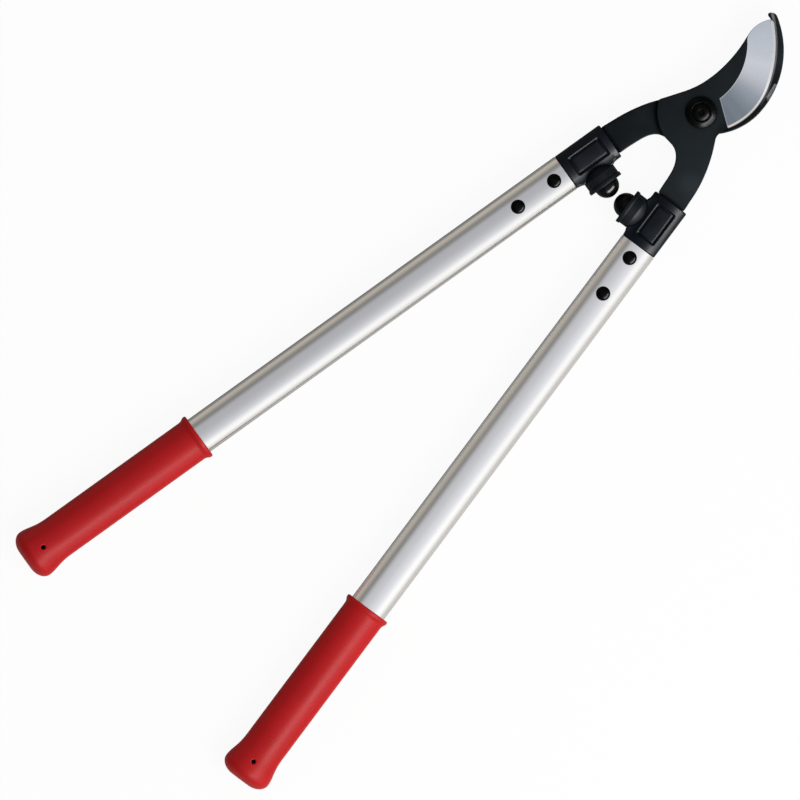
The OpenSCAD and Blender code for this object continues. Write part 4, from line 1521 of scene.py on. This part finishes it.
def build_world(scene):
    world = bpy.data.worlds.new("studio")
    scene.world = world
    sky = Nodes(world, "OutputWorld", "Generated")
    x, y, z = sky.xyz()
    turn = sky.plus(sky.times(sky.calc("ARCTAN2", x, z), 0.5 / math.pi), 0.5)

    def by_angle(table):
        return sky.ramp(turn, [(0.5 + degrees / 360.0, color) for degrees, color in table])
    # the reflected lamp fades along y and stands a little askew
    fade = sky.remap(sky.calc("ABSOLUTE", y), frm=(0.34, 0.72), to=(1.0, 0.34), smooth=True)
    skew = sky.minus(1.0, sky.times(sky.times(x, y), 1.1))
    level = sky.times(fade, skew)
    grey = sky.mix(0.0, level, level)           # the number as a colour
    glossy = sky.mix(1.0, by_angle(GLOSSY_SKY), grey, "MULTIPLY")
    ray = sky.node("LightPath").outputs
    color = sky.mix(ray["Is Glossy Ray"], by_angle(SOFT_SKY), glossy)
    color = sky.mix(ray["Is Camera Ray"], color, CAMERA_SKY)
    background = sky.node("Background")
    sky.put(background.inputs["Color"], color)
    sky.put(background.inputs["Strength"], 1.0)
    sky.surface(background.outputs[0])
    # guards against a build whose worlds lack the Cycles settings
    try:
        world.cycles.sampling_method = "NONE"
    except Exception:
        pass


# ---------------------------------------------------------------- lights
def area_light(scene, name, wide, long, energy):
    light = bpy.data.lights.new(name, "AREA")
    light.shape = "RECTANGLE"
    light.size, light.size_y = wide, long
    light.energy = energy
    obj = bpy.data.objects.new(name, light)
    scene.collection.objects.link(obj)
    obj.visible_camera = False
    return obj


def key_light(scene, aim, tilt, distance, lean_y):
    """A large soft source on the +x side, for the diffuse surfaces only."""
    key = area_light(scene, "key", wide=1.4, long=1.6, energy=16.4)
    key.data.color = (1.0, 0.992, 0.98)
    aim, tilt = np.array(aim), math.radians(tilt)
    place = aim + distance * np.array([math.sin(tilt), lean_y, math.cos(tilt)])
    key.location = place.tolist()
    key.rotation_mode = "QUATERNION"
    key.rotation_quaternion = Vector((aim - place).tolist()).to_track_quat("-Z", "Y")
    key.visible_glossy = False


def strip_light(scene, name, aim, tilt, distance, wide, long, radiance, words):
    """A lamp seen only in reflections, by the pieces whose names hold one of the words."""
    strip = area_light(scene, name, wide, long, energy=radiance * math.pi * wide * long)
    tilt = math.radians(tilt)
    strip.location = Vector(aim) + distance * Vector((math.sin(tilt), 0.0, math.cos(tilt)))
    strip.rotation_euler = (0.0, tilt, 0.0)
    strip.visible_diffuse = False
    receivers = bpy.data.collections.new(name + "_receivers")
    for obj in list(scene.objects):
        if obj.type == "MESH" and any(word in obj.name for word in words):
            receivers.objects.link(obj)
    strip.light_linking.receiver_collection = receivers


# ---------------------------------------------------------------- floor and camera
def mat_floor():
    """The camera sees it almost white, everything else sees a soft warm card."""
    mat = Mat("floor_card")
    cloud = mat.noise(scale=8.0)
    # painted light: brighter when seen from the -x side, for the lit floor beside each tube's +x
    # flank and its shade on the -x side
    incoming = mat.node("NewGeometry").outputs["Incoming"]
    painted_light_side = mat.remap(mat.xyz(incoming)[0], frm=(0.75, -0.75), smooth=True)
    warm = mat.mix(painted_light_side, (0.46, 0.45, 0.43), (0.78, 0.765, 0.735))
    card = mat.node("BsdfDiffuse")
    mat.put(card.inputs["Color"], mat.vary(cloud, warm, (0.9, 0.88, 0.85), to=(0.0, 0.03)))
    seen = mat.node("BsdfDiffuse")
    mat.put(seen.inputs["Color"],
            mat.mix(cloud, (0.078, 0.078, 0.078), (0.082, 0.082, 0.082)))
    glow = mat.node("Emission")
    mat.put(glow.inputs["Color"], (1.0, 1.0, 1.0))
    mat.put(glow.inputs["Strength"], 0.93)
    white = mat.put_all(mat.node("AddShader"), (seen.outputs[0], glow.outputs[0]))
    is_camera = mat.node("LightPath").outputs["Is Camera Ray"]
    mat.surface(mat.put_all(mat.node("MixShader"), (is_camera, card.outputs[0], white)))
    return mat.material


def build_floor(scene, half=40.0, z=-0.0001):
    mesh = bpy.data.meshes.new("floor")
    corners = [(-half, -half, z), (half, -half, z), (half, half, z), (-half, half, z)]
    mesh.from_pydata(corners, [], [(0, 1, 2, 3)])
    floor = bpy.data.objects.new("floor", mesh)
    scene.collection.objects.link(floor)
    mesh.materials.append(mat_floor())


def build_camera(scene, view_width=0.5504, x=-0.00377, y=-0.2863, turn=45.55):
    """Straight down, turned about z so that the tool lies slantwise across the view."""
    camera = bpy.data.cameras.new("cam")
    obj = bpy.data.objects.new("cam", camera)
    scene.collection.objects.link(obj)
    camera.lens, camera.sensor_width = 600.0, 36.0
    distance = (view_width / 2) / (camera.sensor_width / 2 / camera.lens)
    obj.location = (x, y, SLIDE_Z / 1000.0 + distance)
    obj.rotation_euler = (0, 0, math.radians(turn))
    camera.clip_start, camera.clip_end = 0.5, 120.0
    scene.camera = obj


scene = bpy.context.scene
scene.view_settings.view_transform = "Standard"
scene.view_settings.look = "None"
scene.view_settings.exposure = 0.0
scene.view_settings.gamma = 1.0
build_world(scene)
key_light(scene, aim=(0.0, -0.25, 0.0), tilt=52, distance=1.7, lean_y=0.05)
strip_light(scene, "strip_head", aim=(0.0, -0.055, 0.016), tilt=61, distance=0.55,
            wide=0.17, long=0.72, radiance=46.0,
            words=("collar", "cup", "buffer", "rivets", "pivot_bolt", "hook_blade"))
strip_light(scene, "strip_grips", aim=(0.0, -0.47, 0.016), tilt=38, distance=1.5,
            wide=0.40, long=2.4, radiance=4.6, words=("grip",))
build_floor(scene)
build_camera(scene)
